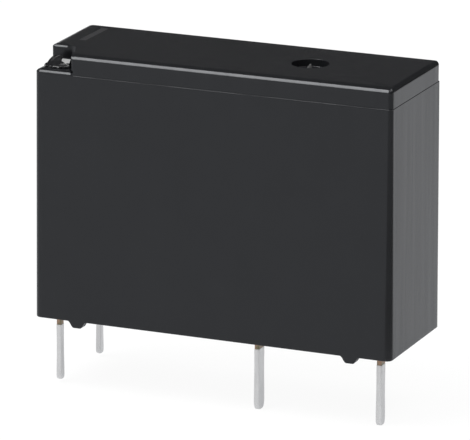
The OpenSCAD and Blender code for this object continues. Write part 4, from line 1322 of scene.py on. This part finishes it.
class RELAY_OT_finish_nodes(bpy.types.Operator):
    """Gives each piece that is shown as CAD made it its own finish"""

    bl_idname = "relay.finish_nodes"
    bl_label = "Finish inner pieces"

    def execute(self, context):
        tones = context.scene.relay_finishes
        strip = strip_material(tones)
        silver = metal_material("contact_silver_looks", tones.silver, 0.16, (5000.0, 5000.0, 1200.0))
        iron_up = metal_material("yoke_iron_looks", tones.iron, 0.26, (7000.0, 7000.0, 400.0))
        iron_flat = metal_material("armature_iron_looks", tones.iron, 0.24, (400.0, 7000.0, 7000.0))
        bronze = metal_material("hinge_bronze_looks", tones.bronze, 0.2, (8000.0, 8000.0, 350.0))
        brass = metal_material("rivet_brass_looks", tones.brass, 0.2, (4000.0, 4000.0, 1500.0))
        finishes = {
            "base": plastic_material("base_plastic_looks", tones.base_grey, 0.42),
            "bobbin": plastic_material("bobbin_plastic_looks", tones.bobbin_ivory, 0.36),
            "card": plastic_material("card_plastic_looks", tones.card_cream, 0.38),
            "core": iron_up, "yoke": iron_up, "armature": iron_flat,
            "hinge_spring": bronze, "spring_rivets": brass,
            "moving_contact": silver, "fixed_contact": silver,
        }
        finishes.update({node: strip for node in PIN_TIN_TOP})
        for node, material in finishes.items():
            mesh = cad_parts[node].data
            mesh.materials.clear()
            mesh.materials.append(material)
        return {"FINISHED"}


def seen_directly(tree):
    """1 for rays from the camera, from mirrors and through glass, which see the set's white."""
    path = tree.nodes.new("ShaderNodeLightPath").outputs
    seen = calculate(tree, "MAXIMUM", path["Is Camera Ray"], path["Is Glossy Ray"])
    return calculate(tree, "MAXIMUM", seen, path["Is Transmission Ray"])


def diffuse(tree, grey):
    """A matt grey shader."""
    return add_node(tree, "ShaderNodeBsdfDiffuse", {"Color": (grey, grey, grey, 1.0)}).outputs[0]


def glowing(tree, kind, tone, strength):
    """An even glow: an Emission shader on a surface, or the world's Background."""
    return add_node(tree, kind, {"Color": (*tone, 1.0), "Strength": strength}).outputs[0]


def mixed_shader(tree, factor, a, b):
    """A Mix Shader node's result."""
    return add_node(tree, "ShaderNodeMixShader", {0: factor, 1: a, 2: b}).outputs[0]


def floor_material(stage):
    """Pale floor: white where it is seen, with a share of the true shading so that the shadow stays."""
    made = bpy.data.materials.new("pale_floor")
    tree = bare_tree(made)
    lit = diffuse(tree, stage.floor_grey)
    white = glowing(tree, "ShaderNodeEmission", WHITE, 1.0)
    shown = mixed_shader(tree, stage.floor_shown, white, lit)
    cool = glowing(tree, "ShaderNodeEmission", COOL_WHITE, stage.mirror_glow)
    mirrored = mixed_shader(tree, stage.floor_mirrored, cool, diffuse(tree, stage.mirror_grey))
    mirror = tree.nodes.new("ShaderNodeLightPath").outputs["Is Glossy Ray"]
    seen = mixed_shader(tree, mirror, shown, mirrored)
    front = mixed_shader(tree, seen_directly(tree), lit, seen)
    back = tree.nodes.new("ShaderNodeNewGeometry").outputs["Backfacing"]
    clear = tree.nodes.new("ShaderNodeBsdfTransparent").outputs[0]
    add_node(tree, "ShaderNodeOutputMaterial", {"Surface": mixed_shader(tree, back, front, clear)})
    return made


def cloth_material(name, grey):
    """Matt cloth of the wall or the card, which are seen only in reflections."""
    made = bpy.data.materials.new(name)
    tree = bare_tree(made)
    add_node(tree, "ShaderNodeOutputMaterial", {"Surface": diffuse(tree, grey)})
    return made


def only_reflected(piece):
    """Hides a stage piece from everything but reflections."""
    for rays in ("camera", "diffuse", "shadow", "transmission", "volume_scatter"):
        setattr(piece, f"visible_{rays}", False)


def disc_sector(radius_low, radius_high, first, last, z, count=64):
    """A flat sector of a ring: radius and heading on a grid."""
    heading = np.linspace(first, last, count)[None, :]
    radius = np.linspace(radius_low, radius_high, 3)[:, None]
    points = np.stack([radius * np.cos(heading), radius * np.sin(heading), np.full((3, count), z)], -1)
    return points.reshape(-1, 3), grid_quads(3, count, wrap_columns=False)[:, ::-1].tolist()


def wall_ring(stage, count=96):
    """The dark wall: a circle at each of its two elevations, joined all round."""
    heading = full_turn(count)
    rise = np.tan(np.array([stage.ring_low, stage.ring_high]))[:, None]
    unit = np.stack(np.broadcast_arrays(np.cos(heading), np.sin(heading), rise), -1)
    return (stage.ring_radius * unit).reshape(-1, 3), grid_quads(2, count).tolist()


def face_along(thing, way, turned=0.0):
    """Turns a lamp or a camera to look along a direction, and about it by an angle."""
    thing.rotation_mode = "QUATERNION"
    thing.rotation_quaternion = way.to_track_quat("-Z", "Y") @ Quaternion((0, 0, 1), turned)


def add_lamp(scene, stage, name, direction, watts):
    """A square softbox in a direction from the relay, turned to it."""
    lamp = bpy.data.lights.new(name, "AREA")
    lamp.energy = watts
    lamp.size = stage.key_size
    holder = bpy.data.objects.new(name, lamp)
    toward = Vector(direction).normalized()
    holder.location = toward * stage.lamp_distance
    face_along(holder, -toward)
    holder.visible_camera = False
    scene.collection.objects.link(holder)


def add_world(scene, stage):
    """An even sky, which is white where it is seen."""
    scene.world = bpy.data.worlds.new("studio")
    tree = bare_tree(scene.world)
    plain = glowing(tree, "ShaderNodeBackground", WHITE, stage.sky)
    white = glowing(tree, "ShaderNodeBackground", WHITE, 1.0)
    both = mixed_shader(tree, seen_directly(tree), plain, white)
    add_node(tree, "ShaderNodeOutputWorld", {"Surface": both})


def add_camera(scene, stage):
    """The camera, at its distance from the target by azimuth and elevation."""
    lens = bpy.data.cameras.new("photo_camera")
    lens.sensor_width = 36.0
    lens.lens = stage.lens
    lens.clip_start, lens.clip_end = 0.01, 20.0
    camera = bpy.data.objects.new("photo_camera", lens)
    a, e = stage.azimuth, stage.elevation
    back = Vector((math.sin(a) * math.cos(e), -math.cos(a) * math.cos(e), math.sin(e)))
    camera.location = Vector((stage.target_x, 0.0, stage.target_z)) + back * stage.distance
    face_along(camera, -back, stage.roll)
    scene.collection.objects.link(camera)
    scene.camera = camera


class RELAY_OT_set_stage(bpy.types.Operator):
    """Sets the floor, the lamps, the world and the camera"""

    bl_idname = "relay.set_stage"
    bl_label = "Set stage"

    def execute(self, context):
        scene = context.scene
        stage = scene.relay_stage
        floor_z = cad_box[0].z
        disc = disc_sector(0.0, FLOOR_RADIUS, 0.0, 2 * math.pi, floor_z)
        floor = add_piece("floor", *disc, floor_material(stage))
        ring = add_piece("dark_wall", *wall_ring(stage), cloth_material("wall_cloth", stage.ring_grey))
        points, faces = disc_sector(
            stage.card_near, stage.card_far, stage.card_first, stage.card_last, floor_z + CARD_LIFT
        )
        front_edge = np.array([cad_box[1].x, cad_box[0].y, 0.0])
        cloth = cloth_material("card_cloth", stage.card_grey)
        card = add_piece("grey_card", points + front_edge, faces, cloth)
        only_reflected(ring)
        only_reflected(card)
        add_lamp(scene, stage, "key_softbox", KEY_DIRECTION, stage.key_watts)
        add_lamp(scene, stage, "rear_softbox", REAR_DIRECTION, stage.rear_watts)
        add_world(scene, stage)
        add_camera(scene, stage)
        scene.view_settings.view_transform = "Standard"
        return {"FINISHED"}


class RELAY_PT_looks(bpy.types.Panel):
    """Lists the relay's sizes and the steps that build its looks"""

    bl_idname = "RELAY_PT_looks"
    bl_label = "Slim Power Relay"
    bl_space_type = "VIEW_3D"
    bl_region_type = "UI"
    bl_category = "Relay"

    def draw(self, context):
        for step in STEPS:
            self.layout.operator(step.bl_idname)
        for name, group in SETTINGS.items():
            box = self.layout.box()
            box.label(text=group.__doc__)
            settings = getattr(context.scene, name)
            for field in group.__annotations__:
                box.prop(settings, field)


SETTINGS = {
    "relay_case": RelayCaseSizes,
    "relay_nib": RelayNibSizes,
    "relay_inner": RelayInnerSizes,
    "relay_finishes": RelayFinishes,
    "relay_stage": RelayStage,
}
STEPS = (
    RELAY_OT_mould_case,
    RELAY_OT_melt_nib,
    RELAY_OT_tin_pins,
    RELAY_OT_cast_seal,
    RELAY_OT_wind_coil,
    RELAY_OT_bend_leaf,
    RELAY_OT_finish_nodes,
    RELAY_OT_set_stage,
)


def register():
    for made in (*SETTINGS.values(), *STEPS, RELAY_PT_looks):
        bpy.utils.register_class(made)
    for name, group in SETTINGS.items():
        setattr(bpy.types.Scene, name, bpy.props.PointerProperty(type=group))


def unregister():
    for name in SETTINGS:
        delattr(bpy.types.Scene, name)
    for made in reversed((*SETTINGS.values(), *STEPS, RELAY_PT_looks)):
        bpy.utils.unregister_class(made)


def main():
    """Registers the add-on, then builds every piece and the stage."""
    register()
    for step in STEPS:
        getattr(bpy.ops.relay, step.bl_idname.split(".")[1])()


if __name__ == "__main__":
    main()
